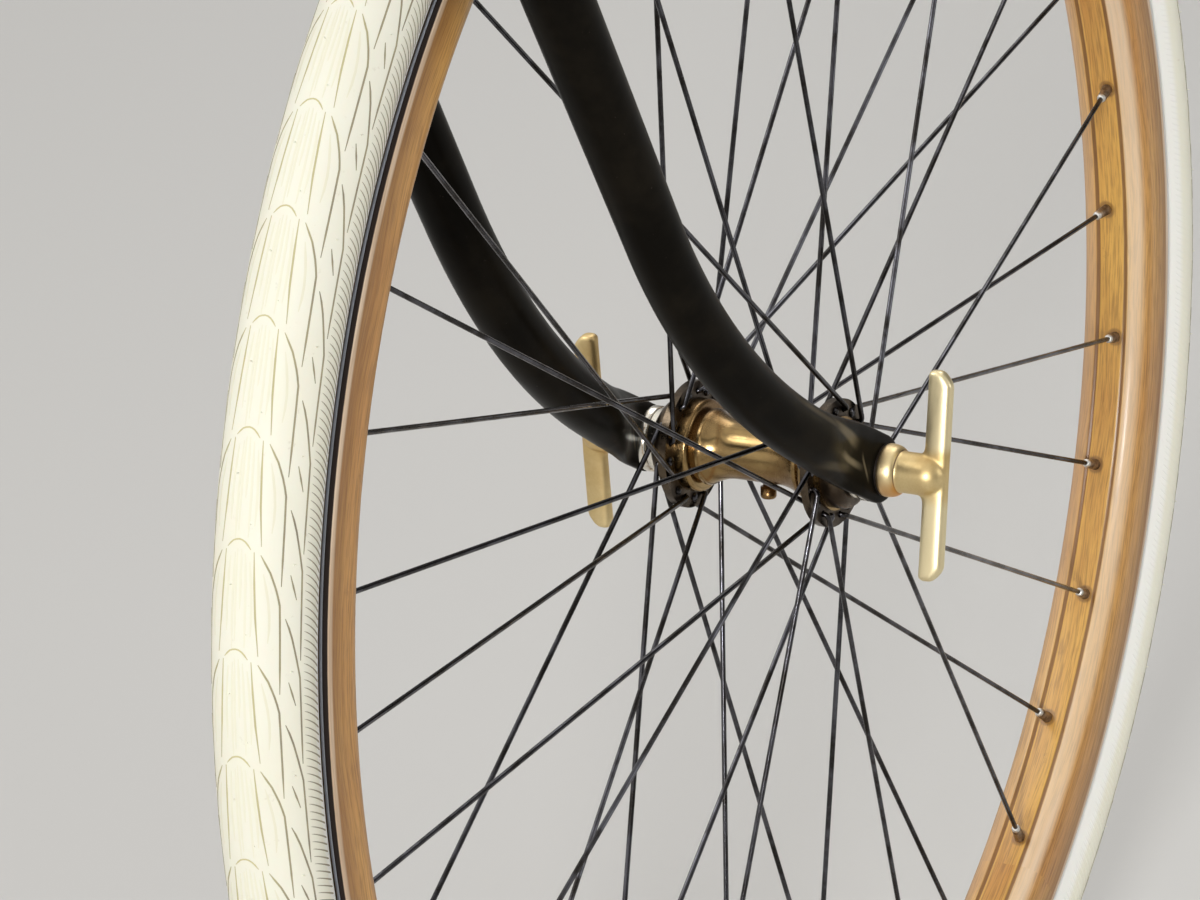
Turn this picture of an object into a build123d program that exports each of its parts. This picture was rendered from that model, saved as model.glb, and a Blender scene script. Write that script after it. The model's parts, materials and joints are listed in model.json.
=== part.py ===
from build123d import *
import math
import os

# Front fork and wheel of a racing bicycle with a wood rim, in millimetres.
# X points forward, Y to the rider's left and Z up. The origin lies on the steering axis,
# on top of the crown race, where the head tube's lower bearing sits.

# Fork geometry
HEAD_ANGLE = 67.0
RAKE = 58.8
CROWN_CLEARANCE = 16.8

# Steerer, race and crown
STEERER_RADIUS = 12.7
STEERER_BORE = 11.1
STEERER_LENGTH = 165.0
RACE_SEAT_RADIUS = 13.3
RACE_RADIUS = 17.2
RACE_LIP_RADIUS = 15.4
RACE_HEIGHT = 6.0
CROWN_HEIGHT = 24.0
CROWN_WALL = 2.2
CROWN_BOSS_RADIUS = 18.5
CROWN_BRIDGE_WIDTH = 24.0
CROWN_SHOULDER_DROP = 8.0
CROWN_ARCH = 5.0
SOCKET_DEPTH = 8.0
SOCKET_POINT = 15.0
SOCKET_BORE_DEPTH = 12.0

# Blades
BLADE_SPACING = 77.0
BLADE_RADIUS = 11.5
BLADE_BEND_RADIUS = 10.4
BLADE_PARALLEL_LENGTH = 70.0
BEND_RADIUS = 285.0
BEND_ANGLE = 31.0
BLADE_OFFSET = 0.4
FLATTEN_START = 56.0
FLATTEN_END = 12.0
FLATTEN_STEPS = 5
FLAT_TINY = 0.05
DIMPLE_RADIUS = 55.0
DIMPLE_DEPTH = 1.3
DIMPLE_PLACE = 30.0

# Fork ends
LOCKNUT_SPACING = 89.0
END_THICKNESS = 4.4
END_RADIUS = 12.2
SLOT_CLEARANCE = 0.3
WASHER_RADIUS = 10.8
WASHER_THICKNESS = 0.8

# Axle and wing nuts
AXLE_RADIUS = 4.0
AXLE_BORE_GAP = 0.05
AXLE_GRIP = 11.0
NUT_BOTTOM_GAP = 0.5
COLLAR_RADIUS = 10.6
COLLAR_EDGE = 0.4
COLLAR_LENGTH = 5.8
COLLAR_END_RADIUS = 8.0
NECK_RADIUS = 7.4
NECK_DOME = 4.0
BAR_OFFSET = 19.2
BAR_RADIUS = 4.25
BAR_LENGTH = 75.0
BAR_BEVEL = 3.2
BAR_ROUND = 1.5
BAR_FILLET = 3.0
RIGHT_BAR_LEAN = 17.8
LEFT_BAR_LEAN = 3.0

# Hub
FLANGE_SPACING = 56.8
FLANGE_RADIUS = 23.0
FLANGE_THICKNESS = 3.0
HOLE_CIRCLE_RADIUS = 19.3
SPOKE_HOLE_RADIUS = 1.3
BARREL_RADIUS = 10.4
FLARE_LENGTH = 8.5
FLARE_RADIUS = 13.8
FLARE_SAG = 0.9
FLARE_LIP = 0.7
GROOVE_WIDTH = 1.8
GROOVE_RADIUS = 12.6
CUP_RADIUS = 16.8
CUP_LENGTH = 4.9
CUP_SHOULDER = 1.3
CUP_LIP = 1.0
DUST_CAP_RADIUS = 15.8
DUST_CAP_WALL = 3.0
DUST_CAP_LENGTH = 7.0
DUST_CAP_NOSE = 12.2
CUP_BORE = 7.3
BARREL_BORE = 6.0
BORE_DEPTH = 12.0
BEARING_GAP = 0.3
CONE_TAPER_LENGTH = 3.0
CONE_TAPER = 1.5
CONE_COLLAR_RADIUS = 11.6
CONE_COLLAR_LENGTH = 2.6
CONE_COLLAR_EDGE = 0.6
LOCK_NUT_RADIUS = 12.0
LOCK_NUT_EDGE = 0.8
SIDE_GAP = 0.5
PRESS_GAP = 0.02
OIL_CAP_ANGLE = -102.0
OIL_CAP_PLACE = 2.5
OIL_NECK_RADIUS = 2.0
OIL_NECK_HEIGHT = 1.6
OIL_CAP_RADIUS = 2.9
OIL_CAP_HEIGHT = 4.4
OIL_CAP_EDGE = 1.3

# Spokes
SPOKE_COUNT = 36
SPOKE_STEP = 360 / SPOKE_COUNT
SPOKE_RADIUS = 1.0
SPOKE_SIDES = 8
SPOKE_HEAD_RADIUS = 1.8
SPOKE_HEAD_LENGTH = 1.1
ELBOW_RADIUS = 2.2
ELBOW_ROOM_OUTER = 1.1
ELBOW_ROOM_INNER = 0.3
CROSS_ANGLE = 60.0
FIRST_SPOKE_ANGLE = 4.35
NIPPLE_STAGGER = 2.0
NIPPLE_RADIUS = 2.2
NIPPLE_LENGTH = 8.0
NIPPLE_SEAT_GAP = 0.3
NIPPLE_GRIP = 3.5
NIPPLE_BORE_GAP = 0.06

# Rim and tyre
RIM_RADIUS = 317.0
RIM_WIDTH = 28.4
RIM_DEPTH = 22.5
RIM_BAND_WIDTH = 14.0
RIM_SHOULDER = 8.5
RIM_BED_DEPTH = 4.5
RIM_LIP = 1.4
TYRE_WIDTH = 33.0
TYRE_WALL_HEIGHT = 14.5
TYRE_WALL_BULGE = 0.6
TYRE_GAP = 0.3

# Valve
VALVE_ANGLE = -91.0
VALVE_RADIUS = 2.8
VALVE_CAP_RADIUS = 3.6
VALVE_LENGTH = 24.0
VALVE_CAP_LENGTH = 9.0
VALVE_NUT_RADIUS = 6.0
VALVE_NUT_HEIGHT = 3.0
VALVE_SEAT_GAP = 0.6

# Straight steps that stand for a quarter turn of a round outline, and for the tyre's bed
QUARTER_STEPS = 5
TREAD_STEPS = 9
BED_STEPS = 6

os.makedirs("parts", exist_ok=True)

# Directions: up the steering axis, forward square to it, and the hub's place
head = math.radians(HEAD_ANGLE)
up_axis = Vector(-math.cos(head), 0, math.sin(head))
fore = Vector(math.sin(head), 0, math.cos(head))
left = Vector(0, 1, 0)
tyre_widest = RIM_RADIUS + TYRE_WALL_HEIGHT
tyre_radius = tyre_widest + TYRE_WIDTH / 2
crown_reach = tyre_radius + CROWN_CLEARANCE
axle_drop = RACE_HEIGHT + CROWN_HEIGHT + math.sqrt(crown_reach ** 2 - RAKE ** 2)
hub = up_axis * -axle_drop + fore * RAKE
hub_axis = Axis(hub, left)
steering_axis = Axis((0, 0, 0), up_axis)
lock_out = LOCKNUT_SPACING / 2
washer_in = lock_out + END_THICKNESS
washer_out = washer_in + WASHER_THICKNESS
end_y = (lock_out + washer_in) / 2
flange_y = FLANGE_SPACING / 2
flange_in = flange_y - FLANGE_THICKNESS / 2
flange_out = flange_y + FLANGE_THICKNESS / 2
rim_inner = RIM_RADIUS - RIM_DEPTH
slot_half = AXLE_RADIUS + SLOT_CLEARANCE
axle_half = washer_out + AXLE_GRIP
bar_y = washer_out + BAR_OFFSET


def steer_plane(height, offset=0.0):
    # Plane square to the steering axis, its x forward, at a height and a place sideways
    return Plane(origin=up_axis * height + left * offset, x_dir=fore, z_dir=up_axis)


def wheel_section():
    # Half section of the wheel: x is the radius and y the place along the axle
    return Plane(origin=hub, x_dir=(1, 0, 0), z_dir=(0, 0, 1))


def steer_section():
    # Half section round the steering axis: x forward is the radius, y up the axis
    return Plane(origin=(0, 0, 0), x_dir=fore, z_dir=fore.cross(up_axis))


def wheel_point(radius, angle, y):
    # Point in the wheel, its angle counted from forward towards up
    turn = math.radians(angle)
    return hub + Vector(radius * math.cos(turn), y, radius * math.sin(turn))


def quarter_round(start, end, steps=QUARTER_STEPS):
    # Points of a rounded corner of a turned outline, from a side wall to the face at its end
    turns = [math.pi / 2 * step / steps for step in range(steps + 1)]
    return [(end[0] + (start[0] - end[0]) * math.cos(t), start[1] + (end[1] - start[1]) * math.sin(t))
            for t in turns]


def flipped(points):
    # The same outline on the other side of the middle, in the other order
    return [(radius, -y) for radius, y in reversed(points)]


def save(piece, name):
    piece.label = name
    export_step(piece, "parts/" + name + ".step")


def mirrored(piece):
    # The same piece on the other side of the bicycle's middle plane
    return mirror(piece, about=Plane.XZ)


def turned(points):
    # Solid turned round the axle from a closed outline of radius and place along the axle
    with BuildPart() as piece:
        with BuildSketch(wheel_section()):
            with BuildLine():
                Polyline(*points, close=True)
            make_face()
        revolve(axis=hub_axis)
    return piece.part


# Steerer tube: 1 inch outside above the race, with a thicker seat below it
crown_top = -RACE_HEIGHT
crown_bottom = crown_top - CROWN_HEIGHT
steerer_bottom = crown_bottom + CROWN_ARCH
with BuildPart() as steerer_tube:
    with BuildSketch(steer_section()):
        with BuildLine():
            Polyline(
                (STEERER_BORE, steerer_bottom),
                (RACE_SEAT_RADIUS, steerer_bottom),
                (RACE_SEAT_RADIUS, 0),
                (STEERER_RADIUS, 0),
                (STEERER_RADIUS, STEERER_LENGTH),
                (STEERER_BORE, STEERER_LENGTH),
                close=True,
            )
        make_face()
    revolve(axis=steering_axis)
save(steerer_tube.part, "steerer_tube")

# Crown race: ring with a rounded shoulder for the balls
with BuildPart() as crown_race:
    with BuildSketch(steer_section()):
        with BuildLine():
            Line((RACE_SEAT_RADIUS, crown_top), (RACE_RADIUS, crown_top))
            Line((RACE_RADIUS, crown_top), (RACE_RADIUS, crown_top + RACE_HEIGHT / 3))
            RadiusArc((RACE_RADIUS, crown_top + RACE_HEIGHT / 3), (RACE_LIP_RADIUS, 0), -RACE_HEIGHT)
            Line((RACE_LIP_RADIUS, 0), (RACE_SEAT_RADIUS, 0))
            Line((RACE_SEAT_RADIUS, 0), (RACE_SEAT_RADIUS, crown_top))
        make_face()
    revolve(axis=steering_axis)
save(crown_race.part, "crown_race")

# Fork crown. Its plan is the steerer boss and two sockets joined by a bridge. Its front view has
# sloping shoulders, an arch over the tyre and a pointed lug below each socket.
socket_radius = BLADE_RADIUS + CROWN_WALL
half_spacing = BLADE_SPACING / 2
socket_in = half_spacing - socket_radius
socket_out = half_spacing + socket_radius
shoulder = crown_top - CROWN_SHOULDER_DROP
socket_end = crown_bottom - SOCKET_DEPTH
lug_tip = socket_end - SOCKET_POINT
front_view = Plane(origin=(0, 0, 0), x_dir=left, z_dir=left.cross(up_axis))
with BuildPart() as fork_crown:
    with BuildSketch(steer_plane(lug_tip)):
        Rectangle(CROWN_BRIDGE_WIDTH, BLADE_SPACING)
        Circle(CROWN_BOSS_RADIUS)
        with Locations((0, half_spacing), (0, -half_spacing)):
            Circle(socket_radius)
    extrude(amount=crown_top - lug_tip)
    with BuildSketch(front_view):
        with BuildLine():
            Line((0, crown_top), (CROWN_BOSS_RADIUS, crown_top))
            RadiusArc((CROWN_BOSS_RADIUS, crown_top), (socket_out, shoulder), -BLADE_SPACING)
            Line((socket_out, shoulder), (socket_out, socket_end))
            RadiusArc((socket_out, socket_end), (half_spacing, lug_tip), -2 * socket_radius)
            RadiusArc((half_spacing, lug_tip), (socket_in, socket_end), -2 * socket_radius)
            Line((socket_in, socket_end), (socket_in, crown_bottom))
            RadiusArc((socket_in, crown_bottom), (0, steerer_bottom), BLADE_SPACING)
            mirror(about=Plane.YZ)
        make_face()
    extrude(amount=socket_radius + CROWN_BOSS_RADIUS, both=True, mode=Mode.INTERSECT)
    with BuildSketch(steer_plane(lug_tip)):
        with Locations((0, half_spacing), (0, -half_spacing)):
            Circle(BLADE_RADIUS)
    extrude(amount=crown_bottom + SOCKET_BORE_DEPTH - lug_tip, mode=Mode.SUBTRACT)
    with BuildSketch(steer_plane(crown_bottom)):
        Circle(RACE_SEAT_RADIUS)
    extrude(amount=CROWN_HEIGHT, mode=Mode.SUBTRACT)
save(fork_crown.part, "fork_crown")

# Blade: parallel tube, taper, bend, then flattened to the slotted end.
# The bend lies in a plane that leans outwards, so that the blades spread towards the axle.
spread = (end_y - half_spacing) / RAKE
tangent = BEND_RADIUS * math.tan(math.radians(BEND_ANGLE / 2))
turn = math.radians(BEND_ANGLE)
corner_drop = axle_drop - (RAKE + BLADE_OFFSET / math.cos(turn)) / math.tan(turn)
bend_start = corner_drop - tangent


def blade_point(drop, forward):
    # Point of the right blade's centre line, by its place below the origin and forward
    return up_axis * -drop + fore * forward - left * (half_spacing + spread * forward)


lean = (fore - left * spread).normalized()
bend_centre = blade_point(bend_start, 0) + lean * BEND_RADIUS
bend_axis = Axis(bend_centre, lean.cross(up_axis))
leg = (up_axis * -math.cos(turn) + lean * math.sin(turn)).normalized()
bend_end = bend_centre - lean * (BEND_RADIUS * math.cos(turn)) - up_axis * (BEND_RADIUS * math.sin(turn))
flat_leg = Vector(leg.X, 0, leg.Z).normalized()
right_end = hub - left * end_y
leg_length = (right_end - bend_end).dot(leg)
round_turn = turn - (FLATTEN_START - leg_length) / BEND_RADIUS
blade_top = -crown_bottom - SOCKET_BORE_DEPTH
taper_from = blade_top + BLADE_PARALLEL_LENGTH
end_plane = Plane(origin=right_end + left * (END_THICKNESS / 2), x_dir=flat_leg, z_dir=-left)


def flatten_plane(distance):
    # Plane square to the blade's lower end, at a distance before the axle measured along the blade
    if distance < leg_length:
        return Plane(origin=right_end - leg * distance, x_dir=leg.cross(lean), z_dir=leg)
    angle = turn - (distance - leg_length) / BEND_RADIUS
    spoke = lean * math.cos(angle) + up_axis * math.sin(angle)
    ahead = lean * math.sin(angle) - up_axis * math.cos(angle)
    return Plane(origin=bend_centre - spoke * BEND_RADIUS, x_dir=ahead.cross(lean), z_dir=ahead)


# Sections of the flattened stretch, each with its plane, thickness sideways and height.
# They change softly at both ends, so that the round tube runs smoothly into the flat end.
flat_sections = []
for step in range(FLATTEN_STEPS + 1):
    share = step / FLATTEN_STEPS
    ease = share * share * (3 - 2 * share)
    place = flatten_plane(FLATTEN_START + (FLATTEN_END - FLATTEN_START) * share)
    if step == FLATTEN_STEPS:
        place = Plane(origin=right_end - flat_leg * FLATTEN_END, x_dir=left, z_dir=flat_leg)
    flat_sections.append({
        "place": place,
        "thickness": 2 * (BLADE_BEND_RADIUS + (END_THICKNESS / 2 - BLADE_BEND_RADIUS) * ease),
        "height": 2 * (BLADE_BEND_RADIUS + (END_RADIUS - BLADE_BEND_RADIUS) * ease),
    })

dimple_plane = flatten_plane(DIMPLE_PLACE)
dimple_side = end_y + END_THICKNESS + DIMPLE_RADIUS - DIMPLE_DEPTH
dimple_centre = dimple_plane.origin - left * (dimple_side - abs(dimple_plane.origin.Y))
with BuildPart() as blade_right:
    with BuildSketch(Plane(origin=blade_point(blade_top, 0), x_dir=lean, z_dir=-up_axis)):
        Circle(BLADE_RADIUS)
    extrude(amount=BLADE_PARALLEL_LENGTH)
    with BuildSketch(Plane(origin=blade_point(taper_from, 0), x_dir=lean, z_dir=-up_axis)):
        Circle(BLADE_RADIUS)
    with BuildSketch(Plane(origin=blade_point(bend_start, 0), x_dir=lean, z_dir=-up_axis)):
        Circle(BLADE_BEND_RADIUS)
    loft()
    with BuildSketch(Plane(origin=blade_point(bend_start, 0), x_dir=lean, z_dir=-up_axis)):
        Circle(BLADE_BEND_RADIUS)
    revolve(axis=bend_axis, revolution_arc=math.degrees(round_turn))
    for section in flat_sections:
        with BuildSketch(section["place"]):
            corner = min(section["thickness"], section["height"]) / 2 - FLAT_TINY
            RectangleRounded(section["thickness"], section["height"], corner)
    loft()
    with BuildSketch(end_plane):
        Circle(END_RADIUS)
        with Locations((-FLATTEN_END / 2, 0)):
            Rectangle(FLATTEN_END, 2 * END_RADIUS)
    extrude(amount=END_THICKNESS)
    with BuildSketch(end_plane):
        with Locations((END_RADIUS, 0)):
            Rectangle(2 * END_RADIUS, 2 * slot_half)
        Circle(slot_half)
    extrude(amount=END_THICKNESS, mode=Mode.SUBTRACT)
    with Locations(dimple_centre):
        Sphere(DIMPLE_RADIUS, mode=Mode.SUBTRACT)
save(blade_right.part, "blade_right")
save(mirrored(blade_right.part), "blade_left")

# Axle, straight through both fork ends
with BuildPart() as axle:
    with BuildSketch(Plane(origin=hub - left * axle_half, x_dir=(1, 0, 0), z_dir=left)):
        Circle(AXLE_RADIUS)
    extrude(amount=2 * axle_half)
save(axle.part, "axle")

# Places along the axle, from the flange outwards, and from the flange inwards
cup_out = flange_out + CUP_LIP
cap_end = cup_out + DUST_CAP_LENGTH
collar_in = cap_end + SIDE_GAP
collar_out = collar_in + CONE_COLLAR_LENGTH
cone_inner = cup_out - BORE_DEPTH + BEARING_GAP
cup_in = flange_in - CUP_LENGTH
groove_in = cup_in - GROOVE_WIDTH
lip_in = groove_in - FLARE_LIP
flare_in = lip_in - FLARE_LENGTH

# Bearing cone with its bright collar, lock nut against the fork end, and washer outside it
axle_bore = AXLE_RADIUS + AXLE_BORE_GAP
cone_radius = CUP_BORE - BEARING_GAP
cone_left = turned([
    (axle_bore, cone_inner),
    (cone_radius - CONE_TAPER, cone_inner),
    (cone_radius, cone_inner + CONE_TAPER_LENGTH),
    (cone_radius, collar_in),
    (CONE_COLLAR_RADIUS - CONE_COLLAR_EDGE, collar_in),
    (CONE_COLLAR_RADIUS, collar_in + CONE_COLLAR_EDGE),
    (CONE_COLLAR_RADIUS, collar_out),
    (axle_bore, collar_out),
])
save(cone_left, "cone_left")
save(mirrored(cone_left), "cone_right")
lock_nut_left = turned([
    (axle_bore, collar_out),
    (LOCK_NUT_RADIUS - LOCK_NUT_EDGE, collar_out),
    (LOCK_NUT_RADIUS, collar_out + LOCK_NUT_EDGE),
    (LOCK_NUT_RADIUS, lock_out),
    (axle_bore, lock_out),
])
save(lock_nut_left, "lock_nut_left")
save(mirrored(lock_nut_left), "lock_nut_right")
washer_left = turned([
    (axle_bore, washer_in),
    (WASHER_RADIUS, washer_in),
    (WASHER_RADIUS, washer_out),
    (axle_bore, washer_out),
])
save(washer_left, "washer_left")
save(mirrored(washer_left), "washer_right")

# Wing nuts: round collar and neck turned as one, ending in a ball that a bar crosses.
# The ball's outer side is flush with the bar, and the bar's outer corners are bevelled.
neck_in = washer_out + COLLAR_LENGTH
ball_y = bar_y + NECK_DOME - NECK_RADIUS


def nut_bar(centre, along, outward):
    # Round bar through a centre, its ends rounded on the wheel's side and bevelled outside
    half = BAR_LENGTH / 2
    with BuildPart() as bar:
        with BuildSketch(Plane(origin=centre, x_dir=along, z_dir=along.cross(outward))) as outline:
            with BuildLine():
                Polyline(
                    (-half, -BAR_RADIUS),
                    (half, -BAR_RADIUS),
                    (half, BAR_RADIUS - BAR_BEVEL),
                    (half - BAR_BEVEL, BAR_RADIUS),
                    (BAR_BEVEL - half, BAR_RADIUS),
                    (-half, BAR_RADIUS - BAR_BEVEL),
                    close=True,
                )
            make_face()
            fillet(outline.vertices().group_by(Axis(centre, outward))[0], BAR_ROUND)
        extrude(amount=BAR_RADIUS, both=True)
        with BuildSketch(Plane(origin=centre - along * half, x_dir=outward, z_dir=along)):
            Circle(BAR_RADIUS)
        extrude(amount=BAR_LENGTH, mode=Mode.INTERSECT)
    return bar.part


def wing_nut(side, bar_lean):
    # Nut on one side of the wheel, side -1 for the right, its bar leaning from upright
    lean_turn = math.radians(90 - bar_lean)
    along = Vector(math.cos(lean_turn), 0, math.sin(lean_turn))
    ball_turn = math.pi / 4
    with BuildPart() as nut:
        with BuildSketch(wheel_section()):
            with BuildLine():
                Polyline(
                    (0, side * washer_out),
                    (COLLAR_RADIUS - COLLAR_EDGE, side * washer_out),
                    (COLLAR_RADIUS, side * (washer_out + COLLAR_EDGE)),
                )
                ThreePointArc(
                    (COLLAR_RADIUS, side * (washer_out + COLLAR_EDGE)),
                    (COLLAR_RADIUS, side * (washer_out + COLLAR_LENGTH / 2)),
                    (COLLAR_END_RADIUS, side * neck_in),
                )
                Polyline(
                    (COLLAR_END_RADIUS, side * neck_in),
                    (NECK_RADIUS, side * neck_in),
                    (NECK_RADIUS, side * ball_y),
                )
                ThreePointArc(
                    (NECK_RADIUS, side * ball_y),
                    (NECK_RADIUS * math.cos(ball_turn), side * (ball_y + NECK_RADIUS * math.sin(ball_turn))),
                    (0, side * (ball_y + NECK_RADIUS)),
                )
                Line((0, side * (ball_y + NECK_RADIUS)), (0, side * washer_out))
            make_face()
        revolve(axis=hub_axis)
        bar_centre = hub + left * (side * bar_y)
        add(nut_bar(bar_centre, along, left * side))
        seams = nut.edges(Select.LAST).filter_by(lambda e: (e.center() - bar_centre).length < 2 * NECK_RADIUS)
        fillet(seams, BAR_FILLET)
        with BuildSketch(Plane(origin=hub, x_dir=(1, 0, 0), z_dir=left * side)):
            Circle(axle_bore)
        extrude(amount=axle_half + NUT_BOTTOM_GAP, mode=Mode.SUBTRACT)
    return nut.part


save(wing_nut(-1, RIGHT_BAR_LEAN), "wing_nut_right")
save(wing_nut(1, LEFT_BAR_LEAN), "wing_nut_left")

# Hub barrel: waist, flare with its lip, groove, round-shouldered cup and bearing bore,
# the left half and its mirror
with BuildPart() as hub_barrel:
    with BuildSketch(wheel_section()):
        with BuildLine():
            Polyline((BARREL_BORE, 0), (BARREL_RADIUS, 0), (BARREL_RADIUS, flare_in))
            ThreePointArc(
                (BARREL_RADIUS, flare_in),
                (BARREL_RADIUS + FLARE_SAG, (flare_in + lip_in) / 2),
                (FLARE_RADIUS, lip_in),
            )
            Polyline(
                (FLARE_RADIUS, lip_in),
                (FLARE_RADIUS, groove_in),
                (GROOVE_RADIUS, groove_in),
                (GROOVE_RADIUS, cup_in),
                (CUP_RADIUS - CUP_SHOULDER, cup_in),
            )
            RadiusArc((CUP_RADIUS - CUP_SHOULDER, cup_in), (CUP_RADIUS, cup_in + CUP_SHOULDER), CUP_SHOULDER)
            Polyline(
                (CUP_RADIUS, cup_in + CUP_SHOULDER),
                (CUP_RADIUS, cup_out),
                (CUP_BORE, cup_out),
                (CUP_BORE, cup_out - BORE_DEPTH),
                (BARREL_BORE, cup_out - BORE_DEPTH),
                (BARREL_BORE, 0),
            )
        make_face()
    revolve(axis=hub_axis)
    mirror(about=Plane.XZ)
save(hub_barrel.part, "hub_barrel")

# Flanges, drilled for the spokes
flange_pieces = {"right": (-1, 0), "left": (1, 1)}
for name, (side, first) in flange_pieces.items():
    start = FIRST_SPOKE_ANGLE - first * SPOKE_STEP
    with BuildPart() as flange:
        with BuildSketch(Plane(origin=hub + left * (side * flange_y - FLANGE_THICKNESS / 2),
                               x_dir=(1, 0, 0), z_dir=left)):
            Circle(FLANGE_RADIUS)
            Circle(CUP_RADIUS + PRESS_GAP, mode=Mode.SUBTRACT)
            with PolarLocations(HOLE_CIRCLE_RADIUS, SPOKE_COUNT // 2, start_angle=-start):
                Circle(SPOKE_HOLE_RADIUS, mode=Mode.SUBTRACT)
        extrude(amount=FLANGE_THICKNESS)
    save(flange.part, "hub_flange_" + name)

# Dust caps, domed over the bearings
dust_cap_left = turned([
    (CUP_BORE, cup_out),
    (DUST_CAP_RADIUS, cup_out),
    *quarter_round((DUST_CAP_RADIUS, cup_out + DUST_CAP_WALL), (DUST_CAP_NOSE, cap_end)),
    (CUP_BORE, cap_end),
])
save(dust_cap_left, "dust_cap_left")
save(mirrored(dust_cap_left), "dust_cap_right")

# Oil cap under the barrel, nearer the right flange
oil_turn = math.radians(OIL_CAP_ANGLE)
oil_out = Vector(math.cos(oil_turn), 0, math.sin(oil_turn))
oil_foot = hub + oil_out * (BARREL_RADIUS + PRESS_GAP) - left * OIL_CAP_PLACE
with BuildPart() as oil_cap:
    with BuildSketch(Plane(origin=oil_foot, x_dir=left, z_dir=oil_out)):
        Circle(OIL_NECK_RADIUS)
    extrude(amount=OIL_NECK_HEIGHT)
    with BuildSketch(Plane(origin=oil_foot + oil_out * OIL_NECK_HEIGHT, x_dir=left, z_dir=oil_out)):
        Circle(OIL_CAP_RADIUS)
    extrude(amount=OIL_CAP_HEIGHT)
    fillet(oil_cap.edges().sort_by(Axis(hub, oil_out))[-1], OIL_CAP_EDGE)
save(oil_cap.part, "oil_cap")

# Spokes and nipples. Each group has every fourth spoke, so that its nine don't touch:
# side of the wheel, first spoke, direction of the cross and side of the flange
spoke_groups = {
    "spokes_right_outer": {"side": -1, "first": 0, "cross": -1, "outer": 1},
    "spokes_right_inner": {"side": -1, "first": 2, "cross": 1, "outer": -1},
    "spokes_left_outer": {"side": 1, "first": 1, "cross": -1, "outer": 1},
    "spokes_left_inner": {"side": 1, "first": 3, "cross": 1, "outer": -1},
}


def spoke_route(index, side, cross, outer):
    # Three points of one spoke: its head, its elbow and the point where it meets the rim
    rim_angle = FIRST_SPOKE_ANGLE - index * SPOKE_STEP
    hole_angle = rim_angle + cross * CROSS_ANGLE
    head_y = flange_y - outer * FLANGE_THICKNESS / 2
    room = ELBOW_ROOM_OUTER if outer > 0 else ELBOW_ROOM_INNER
    elbow_y = flange_y + outer * (FLANGE_THICKNESS / 2 + SPOKE_RADIUS + room)
    return (
        wheel_point(HOLE_CIRCLE_RADIUS, hole_angle, side * head_y),
        wheel_point(HOLE_CIRCLE_RADIUS, hole_angle, side * elbow_y),
        wheel_point(rim_inner - NIPPLE_SEAT_GAP, rim_angle, side * NIPPLE_STAGGER),
    )


def make_spoke(route):
    # Wire of few sides with its elbow and flat head, ending in the nipple's bore
    base, elbow, seat = route
    pull = (seat - elbow).normalized()
    tip = seat - pull * (NIPPLE_LENGTH - NIPPLE_GRIP)
    outward = (elbow - base).normalized()
    with BuildPart() as spoke:
        with BuildLine():
            FilletPolyline(base, elbow, tip, radius=ELBOW_RADIUS)
        with BuildSketch(Plane(origin=base, z_dir=outward)):
            RegularPolygon(SPOKE_RADIUS, SPOKE_SIDES)
        sweep()
        with BuildSketch(Plane(origin=base, z_dir=-outward)):
            RegularPolygon(SPOKE_HEAD_RADIUS, SPOKE_SIDES)
        extrude(amount=SPOKE_HEAD_LENGTH)
    return spoke.part


def make_nipple(route):
    # Nipple in line with its spoke, bored for it
    base, elbow, seat = route
    pull = (seat - elbow).normalized()
    with BuildPart() as nipple:
        with BuildSketch(Plane(origin=seat, z_dir=-pull)):
            RegularPolygon(NIPPLE_RADIUS, SPOKE_SIDES)
        extrude(amount=NIPPLE_LENGTH)
        with BuildSketch(Plane(origin=seat - pull * NIPPLE_LENGTH, z_dir=pull)):
            Circle(SPOKE_RADIUS + NIPPLE_BORE_GAP)
        extrude(amount=NIPPLE_GRIP + NIPPLE_BORE_GAP, mode=Mode.SUBTRACT)
    return nipple.part


nipples = {"right": [], "left": []}
for name, group in spoke_groups.items():
    wires = []
    for index in range(group["first"], SPOKE_COUNT, 4):
        route = spoke_route(index, group["side"], group["cross"], group["outer"])
        wires.append(make_spoke(route))
        nipples["right" if group["side"] < 0 else "left"].append(make_nipple(route))
    save(Compound(children=wires), name)
for name, pieces in nipples.items():
    save(Compound(children=pieces), "nipples_" + name)


def bed_points(half, lift):
    # Hollow bed of the rim, or the tyre's base that fits it, from one side to the other
    places = [half * (2 * step / BED_STEPS - 1) for step in range(BED_STEPS + 1)]
    return [(RIM_RADIUS + lift - RIM_BED_DEPTH * (1 - (y / half) ** 2), y) for y in places]


# Wood rim: flat inner band, rounded shoulders, straight sides and a hollow bed for the tyre
rim_half = RIM_WIDTH / 2
bed_half = rim_half - RIM_LIP
rim_side = quarter_round((rim_inner, RIM_BAND_WIDTH / 2), (rim_inner + RIM_SHOULDER, rim_half))
rim_side.append((RIM_RADIUS, rim_half))
rim = turned(flipped(rim_side) + rim_side + bed_points(bed_half, 0)[::-1])
save(rim, "rim")

# Tyre: base that fits the bed, lower walls that bulge a little, and a round tread
tyre_half = TYRE_WIDTH / 2
tyre_base = bed_half - TYRE_GAP
tread_turns = [math.pi * (step / (2 * TREAD_STEPS)) for step in range(2 * TREAD_STEPS + 1)]
tread = [(tyre_widest + tyre_half * math.sin(t), tyre_half * math.cos(t)) for t in tread_turns]
wall = [((RIM_RADIUS + TYRE_GAP + tyre_widest) / 2, (tyre_base + tyre_half) / 2 + TYRE_WALL_BULGE)]
tyre = turned(bed_points(tyre_base, TYRE_GAP) + wall + tread + flipped(wall))
save(tyre, "tyre")

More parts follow.
